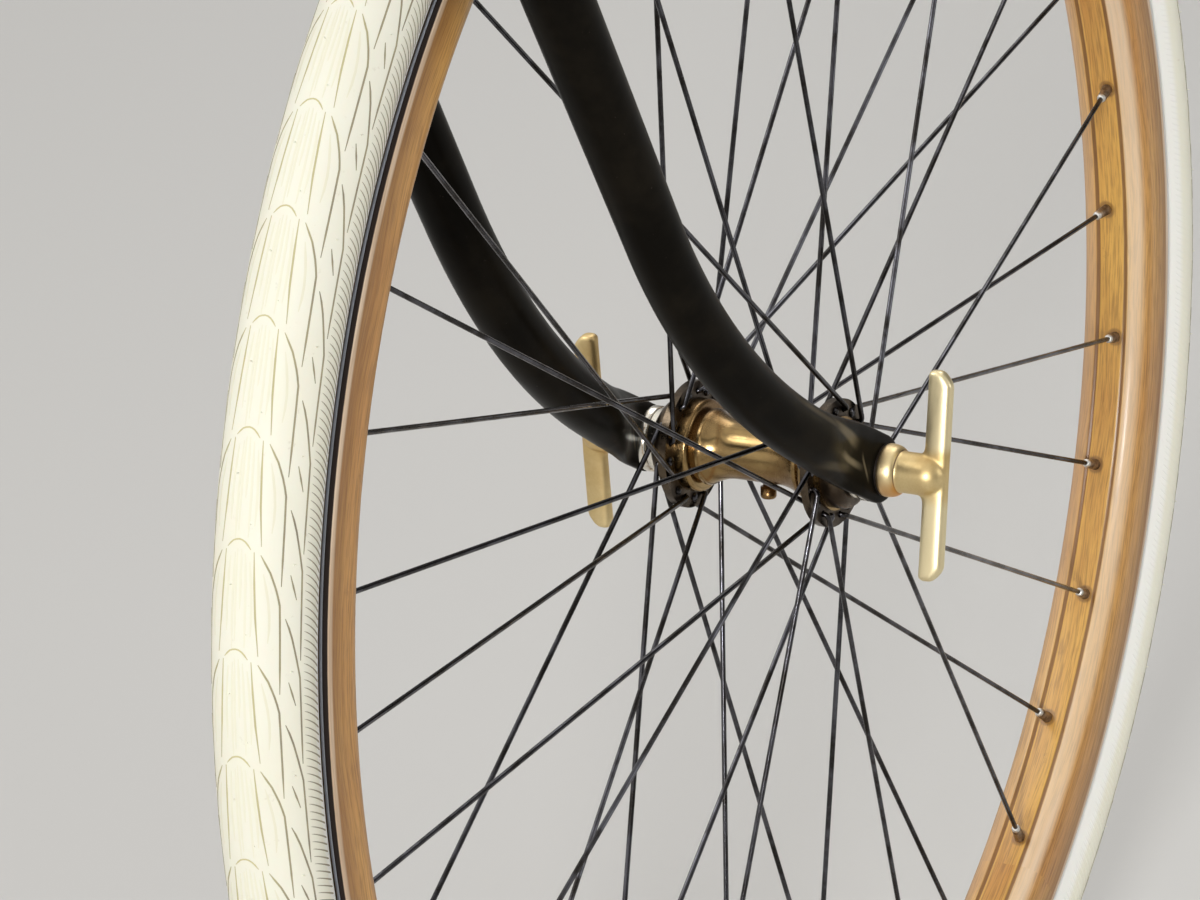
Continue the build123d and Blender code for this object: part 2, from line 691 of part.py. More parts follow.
# Valve: stem with its cap, and the nut that holds it on the rim
valve_turn = math.radians(VALVE_ANGLE)
valve_in = Vector(-math.cos(valve_turn), 0, -math.sin(valve_turn))
valve_seat = hub - valve_in * (rim_inner - VALVE_SEAT_GAP)
with BuildPart() as valve_stem:
    with BuildSketch(Plane(origin=valve_seat, x_dir=left, z_dir=valve_in)):
        Circle(VALVE_RADIUS)
    extrude(amount=VALVE_LENGTH)
    with BuildSketch(Plane(origin=valve_seat + valve_in * (VALVE_LENGTH - VALVE_CAP_LENGTH), x_dir=left,
                           z_dir=valve_in)):
        Circle(VALVE_CAP_RADIUS)
    extrude(amount=VALVE_CAP_LENGTH)
save(valve_stem.part, "valve_stem")
with BuildPart() as valve_nut:
    with BuildSketch(Plane(origin=valve_seat, x_dir=left, z_dir=valve_in)):
        RegularPolygon(VALVE_NUT_RADIUS, 6)
        Circle(VALVE_RADIUS + PRESS_GAP, mode=Mode.SUBTRACT)
    extrude(amount=VALVE_NUT_HEIGHT)
save(valve_nut.part, "valve_nut")
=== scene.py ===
"""Looks of a racing bicycle's front fork and wheel, over the CAD frame.

The wheel has a varnished wood rim, a cream tyre, black spokes and a brass hub with wing nuts.
Sizes are in millimetres unless a name says otherwise, and meshes are made in metres.
"""

import json
import logging
import math
from dataclasses import dataclass
from enum import Enum
from functools import cached_property, partial
from typing import Callable, Iterable, Sequence

import bmesh
import bpy
from mathutils import Matrix, Vector

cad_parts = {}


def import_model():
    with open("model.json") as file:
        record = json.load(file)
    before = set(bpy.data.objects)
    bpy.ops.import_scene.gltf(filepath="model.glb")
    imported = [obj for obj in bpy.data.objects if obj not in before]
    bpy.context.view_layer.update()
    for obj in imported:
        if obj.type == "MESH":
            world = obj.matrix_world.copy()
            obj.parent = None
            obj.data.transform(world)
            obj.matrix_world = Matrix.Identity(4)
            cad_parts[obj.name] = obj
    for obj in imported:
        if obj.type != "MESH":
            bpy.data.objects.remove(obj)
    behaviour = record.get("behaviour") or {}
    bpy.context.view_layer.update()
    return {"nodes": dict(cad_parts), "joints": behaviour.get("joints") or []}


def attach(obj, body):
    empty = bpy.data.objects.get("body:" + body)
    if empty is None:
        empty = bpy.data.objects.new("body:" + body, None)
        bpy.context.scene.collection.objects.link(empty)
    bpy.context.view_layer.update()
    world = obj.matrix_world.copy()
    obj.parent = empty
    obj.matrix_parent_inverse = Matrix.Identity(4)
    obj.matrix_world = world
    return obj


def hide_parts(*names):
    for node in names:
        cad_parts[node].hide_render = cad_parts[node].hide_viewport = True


LOG = logging.getLogger("wheel")
MM = 0.001
MERGE_REACH = 2e-6
CAD_MERGE_REACH = 1e-5
RELAX_FACTOR = 0.5
THIN_RATIO = 0.45
Colour = tuple[float, float, float]
Outline = list[tuple[float, float]]
Route = tuple[Vector, Vector, Vector]
BMesh = bmesh.types.BMesh
BMFace = bmesh.types.BMFace
Solid = bpy.types.Object
Material = bpy.types.Material
Socket = bpy.types.NodeSocket


class Side(Enum):
    """Side of the bicycle, with the sign of its place along the axle."""

    RIGHT = -1
    LEFT = 1

    @property
    def word(self) -> str:
        """Ending of the names of the nodes on this side."""
        return self.name.lower()


class Body(Enum):
    """Bodies of the frame that pieces ride on."""

    FORK = "fork"
    WHEEL = "wheel"


# Outlines and paths


def arc(centre: tuple[float, float], radius: float, start: float, end: float, steps: int) -> Outline:
    """Points of an arc of an outline, its angles in degrees from the first axis."""
    turns = [math.radians(start + (end - start) * step / steps) for step in range(steps + 1)]
    return [(centre[0] + radius * math.cos(t), centre[1] + radius * math.sin(t)) for t in turns]


def quarter(steps: int) -> list[float]:
    """Angles in radians from 0 to a quarter turn, in even steps."""
    return [math.pi / 2 * step / steps for step in range(steps + 1)]


def circle(count: int) -> list[float]:
    """Angles in radians round a full turn, in even steps."""
    return [math.tau * step / count for step in range(count)]


def squared(turn: float, power: float) -> tuple[float, float]:
    """Point of a round of radius 1, squarer the more its power is above 2."""
    first, second = math.cos(turn), math.sin(turn)
    return tuple(math.copysign(abs(part) ** (2 / power), part) for part in (first, second))


def dome(centre: tuple[float, float], radii: tuple[float, float], steps: int) -> Outline:
    """Points of a quarter of an oval of an outline, from its first axis to its second."""
    return [(centre[0] + radii[0] * math.cos(t), centre[1] + radii[1] * math.sin(t)) for t in quarter(steps)]


def hollow(radius: float, depth: float, half: float, steps: int = 12) -> Outline:
    """Points across a hollow bed from its left edge to its right, deepest in its middle."""
    shares = [1 - 2 * step / steps for step in range(steps + 1)]
    return [(radius - depth * (1 - share ** 2), half * share) for share in shares]


def sided(outline: Iterable[tuple[float, float]], side: Side) -> Outline:
    """Outline on one side of the wheel, from places measured outward from its middle."""
    return [(radius, side.value * place) for radius, place in outline]


def smooth_step(low: float, high: float, value: float) -> float:
    """Rises softly from 0 at low to 1 at high."""
    share = min(1.0, max(0.0, (value - low) / (high - low)))
    return share * share * (3 - 2 * share)


def heading(path: Sequence[Vector], index: int) -> Vector:
    """Direction of a path at one of its points."""
    return (path[min(len(path) - 1, index + 1)] - path[max(0, index - 1)]).normalized()


def hoop(middle: Vector, aside: Vector, ahead: Vector, radius: float, sides: int) -> list[Vector]:
    """Points in metres of a circle round a middle, in the plane of two directions."""
    return [middle + (aside * math.cos(t) + ahead * math.sin(t)) * radius * MM for t in circle(sides)]


# Mesh tools


def new_object(name: str, data: bpy.types.ID) -> Solid:
    """Puts a mesh, lamp or camera in the scene under a name and returns its object."""
    made = bpy.data.objects.new(name, data)
    bpy.context.scene.collection.objects.link(made)
    return made


def finish_mesh(name: str, work: BMesh, sharp: float, merge: bool = True) -> Solid:
    """Closes a mesh under construction.

    Args:
        name: name of the object.
        work: the faces, in metres.
        sharp: edges that turn by more degrees than this stay sharp.
        merge: whether points in the same place become one.

    Returns:
        The object, its faces turned outward and shaded smooth.
    """
    if merge:
        bmesh.ops.remove_doubles(work, verts=work.verts, dist=MERGE_REACH)
    bmesh.ops.recalc_face_normals(work, faces=work.faces)
    for face in work.faces:
        face.smooth = True
    mesh = bpy.data.meshes.new(name)
    work.to_mesh(mesh)
    work.free()
    mesh.set_sharp_from_angle(angle=math.radians(sharp))
    return new_object(name, mesh)


def add_rings(work: BMesh, rings: Sequence[Sequence[Vector]], loop: bool = False) -> list[list[BMFace]]:
    """Joins rings of points, each as long as the next, into a skin.

    Args:
        work: the mesh under construction.
        rings: the rings, in metres, each one closed.
        loop: whether the last ring joins the first. If not, a face closes each end.

    Returns:
        The faces between each ring and the next, in the order of the rings' points.
    """
    made = [[work.verts.new(point) for point in ring] for ring in rings]
    rows = []
    for here, there in zip(made, made[1:] + made[:1] if loop else made[1:]):
        pairs = list(zip(here, there))
        rows.append([work.faces.new((a, c, d, b)) for (a, b), (c, d) in zip(pairs, pairs[1:] + pairs[:1])])
    if not loop:
        work.faces.new(made[0][::-1])
        work.faces.new(made[-1])
    return rows


def skinned(name: str, rings: Sequence[Sequence[Vector]], sharp: float, loop: bool = False) -> Solid:
    """Makes an object of one skin over rings of points."""
    work = bmesh.new()
    add_rings(work, rings, loop)
    return finish_mesh(name, work, sharp)


def merged_copy(node: Solid, name: str, sharp: float = 32.0) -> Solid:
    """Copies a CAD node, which stays as it is, as one smooth mesh with its points merged."""
    work = bmesh.new()
    work.from_mesh(node.data)
    bmesh.ops.remove_doubles(work, verts=work.verts, dist=CAD_MERGE_REACH)
    return finish_mesh(name, work, sharp)


def evaluated(source: Solid, name: str) -> Solid:
    """Makes a plain mesh of an object with its modifiers, and removes the object."""
    graph = bpy.context.evaluated_depsgraph_get()
    graph.update()
    mesh = bpy.data.meshes.new_from_object(source.evaluated_get(graph))
    mesh.name = name
    bpy.data.objects.remove(source)
    return new_object(name, mesh)


def rejoined(parts: Iterable[Solid], name: str, sharp: float) -> Solid:
    """Makes one finished mesh of objects, which are used up."""
    work = bmesh.new()
    for part in parts:
        work.from_mesh(part.data)
        bpy.data.objects.remove(part)
    return finish_mesh(name, work, sharp)


def softened(source: Solid, name: str, voxel: float, rounds: int) -> Solid:
    """Rounds the edges of a solid, as casting and filing leave them.

    Args:
        source: closed mesh object, used up.
        name: name of the result.
        voxel: size of the remesh's cells.
        rounds: rounds of smoothing.

    Returns:
        The softened mesh.
    """
    steps = (
        ("REMESH", {"mode": "VOXEL", "voxel_size": voxel * MM, "use_smooth_shade": True}),
        ("SMOOTH", {"factor": RELAX_FACTOR, "iterations": rounds}),
        ("DECIMATE", {"ratio": THIN_RATIO}),
    )
    for kind, settings in steps:
        modifier = source.modifiers.new(kind.lower(), kind)
        for label, value in settings.items():
            setattr(modifier, label, value)
    made = evaluated(source, name)
    made.data.shade_smooth()
    return made


@dataclass(frozen=True)
class Axle:
    """The wheel's axle in the frame, and the points round it."""

    hub: Vector

    def point(self, radius: float, angle: float, place: float) -> Vector:
        """Point in metres at a radius, an angle from forward towards up, and a place to the left."""
        turn = math.radians(angle)
        return self.hub + Vector((radius * math.cos(turn), place, radius * math.sin(turn))) * MM

    def rings(self, outline: Outline, segments: int, start: float = 0.0) -> list[list[Vector]]:
        """Rings of points of a closed outline of (radius, place along the axle), turned round the axle."""
        angles = [start + 360 * step / segments for step in range(segments)]
        return [[self.point(radius, angle, place) for radius, place in outline] for angle in angles]

    def lathe(self, name: str, outline: Outline, segments: int, sharp: float = 32.0) -> Solid:
        """Makes a closed outline turned round the axle."""
        return skinned(name, self.rings(outline, segments), sharp, loop=True)


# Node trees


class Graph:
    """A node tree under construction."""

    def __init__(self, tree: bpy.types.NodeTree) -> None:
        """Starts on a tree."""
        self.tree = tree

    def node(self, kind: str, **settings: object) -> bpy.types.Node:
        """Adds a node with its settings."""
        node = self.tree.nodes.new(kind)
        for label, value in settings.items():
            setattr(node, label, value)
        return node

    def put(self, value: object, target: Socket) -> None:
        """Links a socket to an input, or sets the input to a plain value."""
        if isinstance(value, Socket):
            self.tree.links.new(value, target)
        else:
            target.default_value = value

    def make(self, kind: str, inputs: dict, output: int | str = 0, **settings: object) -> Socket:
        """Adds a node with its settings, fills its inputs and returns one of its outputs."""
        node = self.node(kind, **settings)
        for label, value in inputs.items():
            self.put(value, node.inputs[label])
        return node.outputs[output]

    def maths(self, operation: str, first: object, second: object = 0.0) -> Socket:
        """Works out one operation on sockets or numbers."""
        return self.make("ShaderNodeMath", {0: first, 1: second}, operation=operation)

    def times(self, first: object, second: object) -> Socket:
        """Multiplies two sockets or numbers."""
        return self.maths("MULTIPLY", first, second)

    def length(self, first: Socket, second: Socket) -> Socket:
        """Distance whose two sides at right angles are given."""
        return self.maths("SQRT", self.maths("ADD", self.times(first, first), self.times(second, second)))

    def span(self, value: Socket, low: object, high: object, start: float = 0.0,
             end: float = 1.0) -> Socket:
        """Maps a value from one range to another, smoothly and clamped."""
        inputs = {"Value": value, "From Min": low, "From Max": high, "To Min": start, "To Max": end}
        return self.make("ShaderNodeMapRange", inputs, interpolation_type="SMOOTHSTEP")

    def seen(self) -> Socket:
        """Mask of rays from the camera, and of those that mirrors and glass send on."""
        rays = self.node("ShaderNodeLightPath").outputs
        either = self.maths("MAXIMUM", rays["Is Camera Ray"], rays["Is Glossy Ray"])
        return self.maths("MAXIMUM", either, rays["Is Transmission Ray"])


class RingArray:
    """Geometry Nodes tree that repeats a motif round the axle."""

    TREE = "ring array"
    INPUTS = {"Geometry": "Geometry", "Count": "Int", "Step": "Float", "Centre": "Vector",
              "Finish": "Material"}

    def tree(self) -> bpy.types.NodeTree:
        """Builds the tree once and returns it."""
        if self.TREE in bpy.data.node_groups:
            return bpy.data.node_groups[self.TREE]
        tree = bpy.data.node_groups.new(self.TREE, "GeometryNodeTree")
        for label, kind in self.INPUTS.items():
            tree.interface.new_socket(name=label, in_out="INPUT", socket_type="NodeSocket" + kind)
        tree.interface.new_socket(name="Geometry", in_out="OUTPUT", socket_type="NodeSocketGeometry")
        graph = Graph(tree)
        given = graph.node("NodeGroupInput").outputs
        points = graph.make("GeometryNodeMeshLine", {"Count": given["Count"], "Offset": (0, 0, 0)},
                            mode="OFFSET")
        turn = graph.times(graph.node("GeometryNodeInputIndex").outputs[0], given["Step"])
        euler = graph.make("ShaderNodeCombineXYZ", {"Y": turn})
        rotation = graph.make("FunctionNodeEulerToRotation", {0: euler})
        away = graph.make("ShaderNodeVectorMath", {0: given["Centre"], "Scale": -1}, operation="SCALE")
        centred = graph.make("GeometryNodeTransform", {"Geometry": given["Geometry"], "Translation": away})
        copies = graph.make("GeometryNodeInstanceOnPoints",
                            {"Points": points, "Instance": centred, "Rotation": rotation})
        back = graph.make("GeometryNodeTransform", {"Geometry": copies, "Translation": given["Centre"]})
        real = graph.make("GeometryNodeRealizeInstances", {0: back})
        dressed = graph.make("GeometryNodeSetMaterial", {"Geometry": real, "Material": given["Finish"]})
        graph.put(dressed, graph.node("NodeGroupOutput").inputs["Geometry"])
        return tree

    def build(self, motif: Solid, name: str, count: int, step: float, axle: Axle, finish: Material) -> Solid:
        """Repeats a motif.

        Args:
            motif: mesh at its first place round the axle, used up.
            name: name of the result.
            count: number of copies.
            step: degrees from one copy to the next, forward towards up.
            axle: the axle it turns about.
            finish: material of the result.

        Returns:
            One plain mesh with every copy.
        """
        modifier = motif.modifiers.new("ring", "NODES")
        modifier.node_group = self.tree()
        values = {"Count": count, "Step": -math.radians(step), "Centre": tuple(axle.hub), "Finish": finish}
        for item in modifier.node_group.interface.items_tree:
            if item.in_out == "INPUT" and item.name in values:
                modifier[item.identifier] = values[item.name]
        return evaluated(motif, name)


class Effects:
    """Shared effects as shader node groups, whose outputs are masks or heights."""

    @staticmethod
    def _group(name: str, inputs: dict[str, float],
               fill: Callable[[Graph, object], Socket]) -> bpy.types.NodeTree:
        """Returns the group of a name, filled the first time by a function of its graph and inputs."""
        if name in bpy.data.node_groups:
            return bpy.data.node_groups[name]
        tree = bpy.data.node_groups.new(name, "ShaderNodeTree")
        tree.interface.new_socket(name="Vector", in_out="INPUT", socket_type="NodeSocketVector")
        for label, value in inputs.items():
            socket = tree.interface.new_socket(name=label, in_out="INPUT", socket_type="NodeSocketFloat")
            socket.default_value = value
        tree.interface.new_socket(name="Mask", in_out="OUTPUT", socket_type="NodeSocketFloat")
        graph = Graph(tree)
        mask = fill(graph, graph.node("NodeGroupInput").outputs)
        graph.put(mask, graph.node("NodeGroupOutput").inputs["Mask"])
        return tree

    @staticmethod
    def _noise(graph: Graph, given: object, detail: object, roughness: float) -> Socket:
        """Noise at the group's own place and scale."""
        inputs = {"Vector": given["Vector"], "Scale": given["Scale"], "Detail": detail,
                  "Roughness": roughness}
        return graph.make("ShaderNodeTexNoise", inputs, "Fac")

    @classmethod
    def wear(cls) -> bpy.types.NodeTree:
        """Blotches of tarnish: a rough noise, cut softly at a share."""

        def fill(graph: Graph, given: object) -> Socket:
            """Cuts the noise at the share, over its softness."""
            low = graph.maths("SUBTRACT", given["Share"], given["Softness"])
            high = graph.maths("ADD", given["Share"], given["Softness"])
            return graph.span(cls._noise(graph, given, 5, 0.62), low, high)

        return cls._group("wear", {"Scale": 60.0, "Share": 0.5, "Softness": 0.2}, fill)

    @classmethod
    def grain(cls) -> bpy.types.NodeTree:
        """Fine even grain, as a height or a small change of roughness."""

        def fill(graph: Graph, given: object) -> Socket:
            """Passes the noise on."""
            return cls._noise(graph, given, given["Detail"], 0.55)

        return cls._group("grain", {"Scale": 900.0, "Detail": 2.0}, fill)

    @classmethod
    def dust(cls) -> bpy.types.NodeTree:
        """Dust that settles on faces that look up, in soft patches."""

        def fill(graph: Graph, given: object) -> Socket:
            """Joins how far a face looks up with the patches."""
            normal = graph.node("ShaderNodeNewGeometry").outputs["Normal"]
            rise = graph.make("ShaderNodeSeparateXYZ", {0: normal}, "Z")
            facing = graph.make("ShaderNodeMapRange", {"Value": rise, "From Min": -0.35, "From Max": 0.95})
            noise = cls._noise(graph, given, 6, 0.7)
            patch = graph.make("ShaderNodeMapRange", {"Value": noise, "From Min": 0.35, "From Max": 0.72})
            return graph.times(graph.times(facing, patch), given["Amount"])

        return cls._group("dust", {"Scale": 45.0, "Amount": 0.3}, fill)


class Shader(Graph):
    """A Principled material under construction, its coordinates in metres from a centre."""

    def __init__(self, name: str, centre: Vector) -> None:
        """Starts a material whose coordinates have their middle at a centre."""
        self.material = bpy.data.materials.new(name)
        self.material.use_nodes = True
        super().__init__(self.material.node_tree)
        self.surface = self.tree.nodes["Principled BSDF"]
        spot = self.node("ShaderNodeTexCoord").outputs["Object"]
        self.place = self.make("ShaderNodeMapping", {"Vector": spot, "Location": tuple(-centre)})

    def split(self, vector: Socket) -> tuple[Socket, ...]:
        """Splits a vector into its three parts."""
        node = self.node("ShaderNodeSeparateXYZ")
        self.put(vector, node.inputs[0])
        return tuple(node.outputs)

    @cached_property
    def parts(self) -> tuple[Socket, ...]:
        """Places forward, to the left and up."""
        return self.split(self.place)

    @cached_property
    def across(self) -> Socket:
        """Distance from the wheel's middle plane."""
        return self.maths("ABSOLUTE", self.parts[1])

    @cached_property
    def radius(self) -> Socket:
        """Distance from the line along the bicycle's width through the coordinates' middle."""
        return self.length(self.parts[0], self.parts[2])

    def feed(self, **values: object) -> None:
        """Gives the surface's inputs sockets or plain values, their names with underscores for spaces."""
        for label, value in values.items():
            self.put(value, self.surface.inputs[label.replace("_", " ")])

    def vector(self, *values: object) -> Socket:
        """Joins three sockets or numbers into a vector."""
        return self.make("ShaderNodeCombineXYZ", dict(enumerate(values)))

    def reach(self, value: Socket, low: float, high: float, start: float = 0.0, end: float = 1.0) -> Socket:
        """Maps a distance from a range in millimetres to another range, smoothly and clamped."""
        return self.span(value, low * MM, high * MM, start, end)

    def band(self, value: Socket, middle: float, half: float, soft: float) -> Socket:
        """Mask of a band of a distance, 1 in its middle and fading over a soft edge, in millimetres."""
        away = self.maths("ABSOLUTE", self.maths("SUBTRACT", value, middle * MM))
        return self.reach(away, half, half + soft, 1.0, 0.0)

    def effect(self, tree: bpy.types.NodeTree, vector: Socket | None = None, **values: float) -> Socket:
        """Adds a shared effect, at the material's own place or another, and returns its mask."""
        inputs = {"Vector": vector or self.place, **values}
        return self.make("ShaderNodeGroup", inputs, "Mask", node_tree=tree)

    def mix(self, share: Socket, first: object, second: object) -> Socket:
        """Mixes two colours, each a socket or a colour, by a share."""
        node = self.node("ShaderNodeMix", data_type="RGBA")
        self.put(share, node.inputs["Factor"])
        for label, value in (("A", first), ("B", second)):
            socket = next(s for s in node.inputs if s.name == label and s.type == "RGBA")
            self.put(value if isinstance(value, Socket) else (*value, 1.0), socket)
        return next(s for s in node.outputs if s.type == "RGBA")

    def layered(self, colour: object, layers: Iterable[tuple[Socket, object]]) -> Socket:
        """Covers a colour with more colours in turn, each by its mask."""
        for mask, over in layers:
            colour = self.mix(mask, colour, over)
        return colour

    def bump(self, height: Socket, distance: float, strength: float) -> None:
        """Bumps the surface by a height, with its depth in millimetres."""
        inputs = {"Distance": distance * MM, "Strength": strength, "Height": height}
        self.feed(Normal=self.make("ShaderNodeBump", inputs))


# Materials


@dataclass(frozen=True)
class MetalFinish:
    """Metal with blotches of tarnish, fine grain, settled dust, and marks where it has any."""

    name: str
    colour: Colour
    tarnish: Colour
    roughness: float
    dull: float
    blotch: float = 60.0
    share: float = 0.5
    softness: float = 0.2
    grain: float = 1600.0
    relief: float = 0.02
    dust: float = 0.0
    dust_colour: Colour = (0.32, 0.27, 0.2)
    seam: float = 0.0
    seam_width: float = 0.22
    seam_colour: Colour = (0.10, 0.05, 0.04)
    foot: float = 0.0
    foot_length: float = 4.5
    foot_colour: Colour = (0.44, 0.215, 0.05)
    # Painted reflection: orange on the collar's lower side, in place of the ground's reflection.
    reflection_rise: tuple[float, float] = (-4.5, 2.0)
    reflection_colour: Colour = (0.64, 0.27, 0.035)
    arm_radius: float = 0.0
    arm_fade: float = 5.0
    # Painted highlight: pale colour on the wing nuts' arms.
    arm_highlight_colour: Colour = (0.88, 0.775, 0.50)
    tip_radius: float = 0.0
    tip_colour: Colour = (0.88, 0.86, 0.82)

    def marks(self, shader: Shader) -> list[tuple[Socket, Colour]]:
        """Masks and colours of the seam, foot, painted reflection on the collar's lower side, painted
        highlight on the arms, and tips that the finish has.
        """
        marks = []
        if self.seam > 0:
            line = shader.band(shader.across, self.seam, self.seam_width, 0.2)
            marks.append((shader.times(line, 0.85), self.seam_colour))
        if self.foot > 0:
            collar = shader.reach(shader.across, self.seam, self.seam + 0.3, 1.0, 0.0)
            low = shader.reach(shader.across, self.foot, self.foot + self.foot_length, 0.7, 0.05)
            # Painted reflection of the ground on the collar's lower side.
            painted_reflection = shader.reach(shader.parts[2], *self.reflection_rise, 0.92, 0.0)
            marks.append((shader.times(low, collar), self.foot_colour))
            marks.append((shader.times(painted_reflection, collar), self.reflection_colour))
        # Painted highlight on the arms, full on the right nut; the left nut's arms stay darker as painted
        # shade.
        if self.arm_radius > 0:
            arm_highlight = shader.reach(shader.radius, self.arm_radius, self.arm_radius + self.arm_fade, 0.0, 0.85)
            near = shader.reach(shader.parts[1], -10.0, 10.0, 1.0, 0.15)
            marks.append((shader.times(arm_highlight, near), self.arm_highlight_colour))
        if self.tip_radius > 0:
            tip = shader.reach(shader.radius, self.tip_radius - 0.2, self.tip_radius, 1.0, 0.0)
            marks.append((tip, self.tip_colour))
        return marks

    def build(self, centre: Vector) -> Material:
        """Makes the material with its coordinates' middle at a centre."""
        shader = Shader(self.name, centre)
        worn = shader.effect(Effects.wear(), Scale=self.blotch, Share=self.share, Softness=self.softness)
        fine = shader.effect(Effects.grain(), Scale=self.grain)
        metallic = 1.0
        rough = shader.maths("ADD", shader.span(worn, 0.0, 1.0, self.roughness, self.dull),
                             shader.span(fine, 0.3, 0.7, -0.04, 0.04))
        layers = [(worn, self.tarnish), (shader.span(fine, 0.3, 0.7, 0.0, 0.08), self.tarnish)]
        if self.dust > 0:
            dusty = shader.effect(Effects.dust(), Amount=self.dust)
            layers.append((dusty, self.dust_colour))
            rough = shader.maths("ADD", rough, shader.times(dusty, 0.35))
            metallic = shader.span(dusty, 0.0, 1.0, metallic, 0.2)
        colour = shader.layered(self.colour, layers + self.marks(shader))
        shader.feed(Base_Color=colour, Roughness=rough, Metallic=metallic)
        shader.bump(fine, self.relief, 0.5)
        return shader.material


@dataclass(frozen=True)
class Streak:
    """Painted highlight streak on a blade's end: its run along the leg, its height at both ends and how it
    fades.
    """

    start: float
    end: float
    low: float
    high: float
    half: float
    soft: float
    strength: float


@dataclass(frozen=True)
class EnamelFinish:
    """Old satin enamel, almost black, with fine scuffs, a little dust and painted highlight streaks on the
    blades' ends at the wheel's nuts.
    """

    name: str = "black_enamel"
    colour: Colour = (0.0050, 0.0042, 0.0030)
    faded: Colour = (0.011, 0.0088, 0.0058)
    dust_colour: Colour = (0.11, 0.09, 0.07)
    # Painted highlight: colour of the light streaks on the blades' ends.
    streak_highlight: Colour = (0.19, 0.155, 0.095)
    leg_angle: float = 36.0
    side: float = 41.0
    side_fade: float = 5.0
    streaks: tuple[Streak, ...] = (
        Streak(start=23.0, end=52.0, low=3.9, high=7.1, half=0.9, soft=1.9, strength=0.8),
        Streak(start=38.0, end=84.0, low=5.5, high=9.8, half=0.3, soft=1.5, strength=0.35),
        Streak(start=16.0, end=40.0, low=-2.9, high=-1.3, half=0.3, soft=1.5, strength=1.0),
        Streak(start=22.0, end=52.0, low=-4.6, high=-8.2, half=0.5, soft=1.8, strength=0.3),
        Streak(start=10.5, end=19.5, low=-7.0, high=2.4, half=0.3, soft=0.9, strength=0.6),
    )

    def streak_highlight_mask(self, shader: Shader) -> Socket:
        """Mask of the painted highlight streaks along the outer side of the blades' ends."""
        fore, _, rise = shader.parts
        turn = math.radians(self.leg_angle)
        back = shader.maths("SUBTRACT", shader.times(rise, math.sin(turn)),
                            shader.times(fore, math.cos(turn)))
        over = shader.maths("ADD", shader.times(rise, math.cos(turn)), shader.times(fore, math.sin(turn)))
        total = 0.0
        for streak in self.streaks:
            slope = (streak.high - streak.low) / (streak.end - streak.start)
            line = shader.times(shader.maths("SUBTRACT", back, streak.start * MM), slope)
            across = shader.band(shader.maths("SUBTRACT", over, line), streak.low, streak.half, streak.soft)
            run = (streak.end - streak.start) / 2
            along = shader.band(back, streak.start + run, run * 0.25, run * 0.85)
            mask = shader.times(shader.times(across, along), streak.strength)
            total = shader.maths("MAXIMUM", total, mask)
        return shader.times(total, shader.reach(shader.across, self.side, self.side + self.side_fade))

    def build(self, centre: Vector) -> Material:
        """Makes the material with its coordinates' middle at a centre."""
        shader = Shader(self.name, centre)
        faded = shader.effect(Effects.wear(), Scale=38.0, Share=0.55, Softness=0.18)
        specks = shader.effect(Effects.wear(), Scale=700.0, Share=0.72, Softness=0.03)
        fine = shader.effect(Effects.grain(), Scale=420.0)
        dusty = shader.effect(Effects.dust(), Amount=0.06)
        # The streaks on the blades' ends are painted highlights.
        layers = ((faded, self.faded), (shader.times(specks, 0.5), self.dust_colour),
                  (self.streak_highlight_mask(shader), self.streak_highlight), (dusty, self.dust_colour))
        rough = shader.maths("ADD", shader.span(faded, 0.0, 1.0, 0.30, 0.40), shader.times(dusty, 0.3))
        shader.feed(Base_Color=shader.layered(self.colour, layers), Roughness=rough, Specular_IOR_Level=0.07,
                    IOR=1.3)
        shader.bump(fine, 0.05, 0.35)
        return shader.material


@dataclass(frozen=True)
class RubberFinish:
    """Cream tyre rubber, paler on its sides and painted near black as shade where it meets the rim, with
    marks of use.
    """

    name: str = "cream_rubber"
    colour: Colour = (0.88, 0.865, 0.745)
    warm: Colour = (0.86, 0.82, 0.65)
    stain: Colour = (0.50, 0.42, 0.30)
    pale: Colour = (0.95, 0.945, 0.91)
    gap: Colour = (0.035, 0.022, 0.015)
    pale_radius: float = 326.5
    pale_fade: float = 1.5
    gap_shade_radius: float = 317.9

    def build(self, centre: Vector) -> Material:
        """Makes the material with its coordinates' middle at the axle."""
        shader = Shader(self.name, centre)
        broad = shader.effect(Effects.wear(), Scale=22.0, Share=0.5, Softness=0.3)
        spots = shader.effect(Effects.wear(), Scale=260.0, Share=0.7, Softness=0.06)
        fine = shader.effect(Effects.grain(), Scale=1100.0, Detail=3.0)
        low, high = self.pale_radius - self.pale_fade, self.pale_radius + self.pale_fade
        layers = (
            (shader.times(broad, 0.5), self.warm),
            (shader.times(spots, 0.3), self.stain),
            (shader.reach(shader.radius, low, high, 0.8, 0.0), self.pale),
            # Painted shade: the tyre's foot next to the rim is near black.
            (shader.reach(shader.radius, self.gap_shade_radius - 0.4, self.gap_shade_radius, 1.0, 0.0), self.gap),
        )
        shader.feed(Base_Color=shader.layered(self.colour, layers),
                    Roughness=shader.span(fine, 0.3, 0.7, 0.5, 0.66),
                    Subsurface_Weight=0.04, Subsurface_Scale=0.002)
        shader.bump(fine, 0.06, 0.4)
        return shader.material


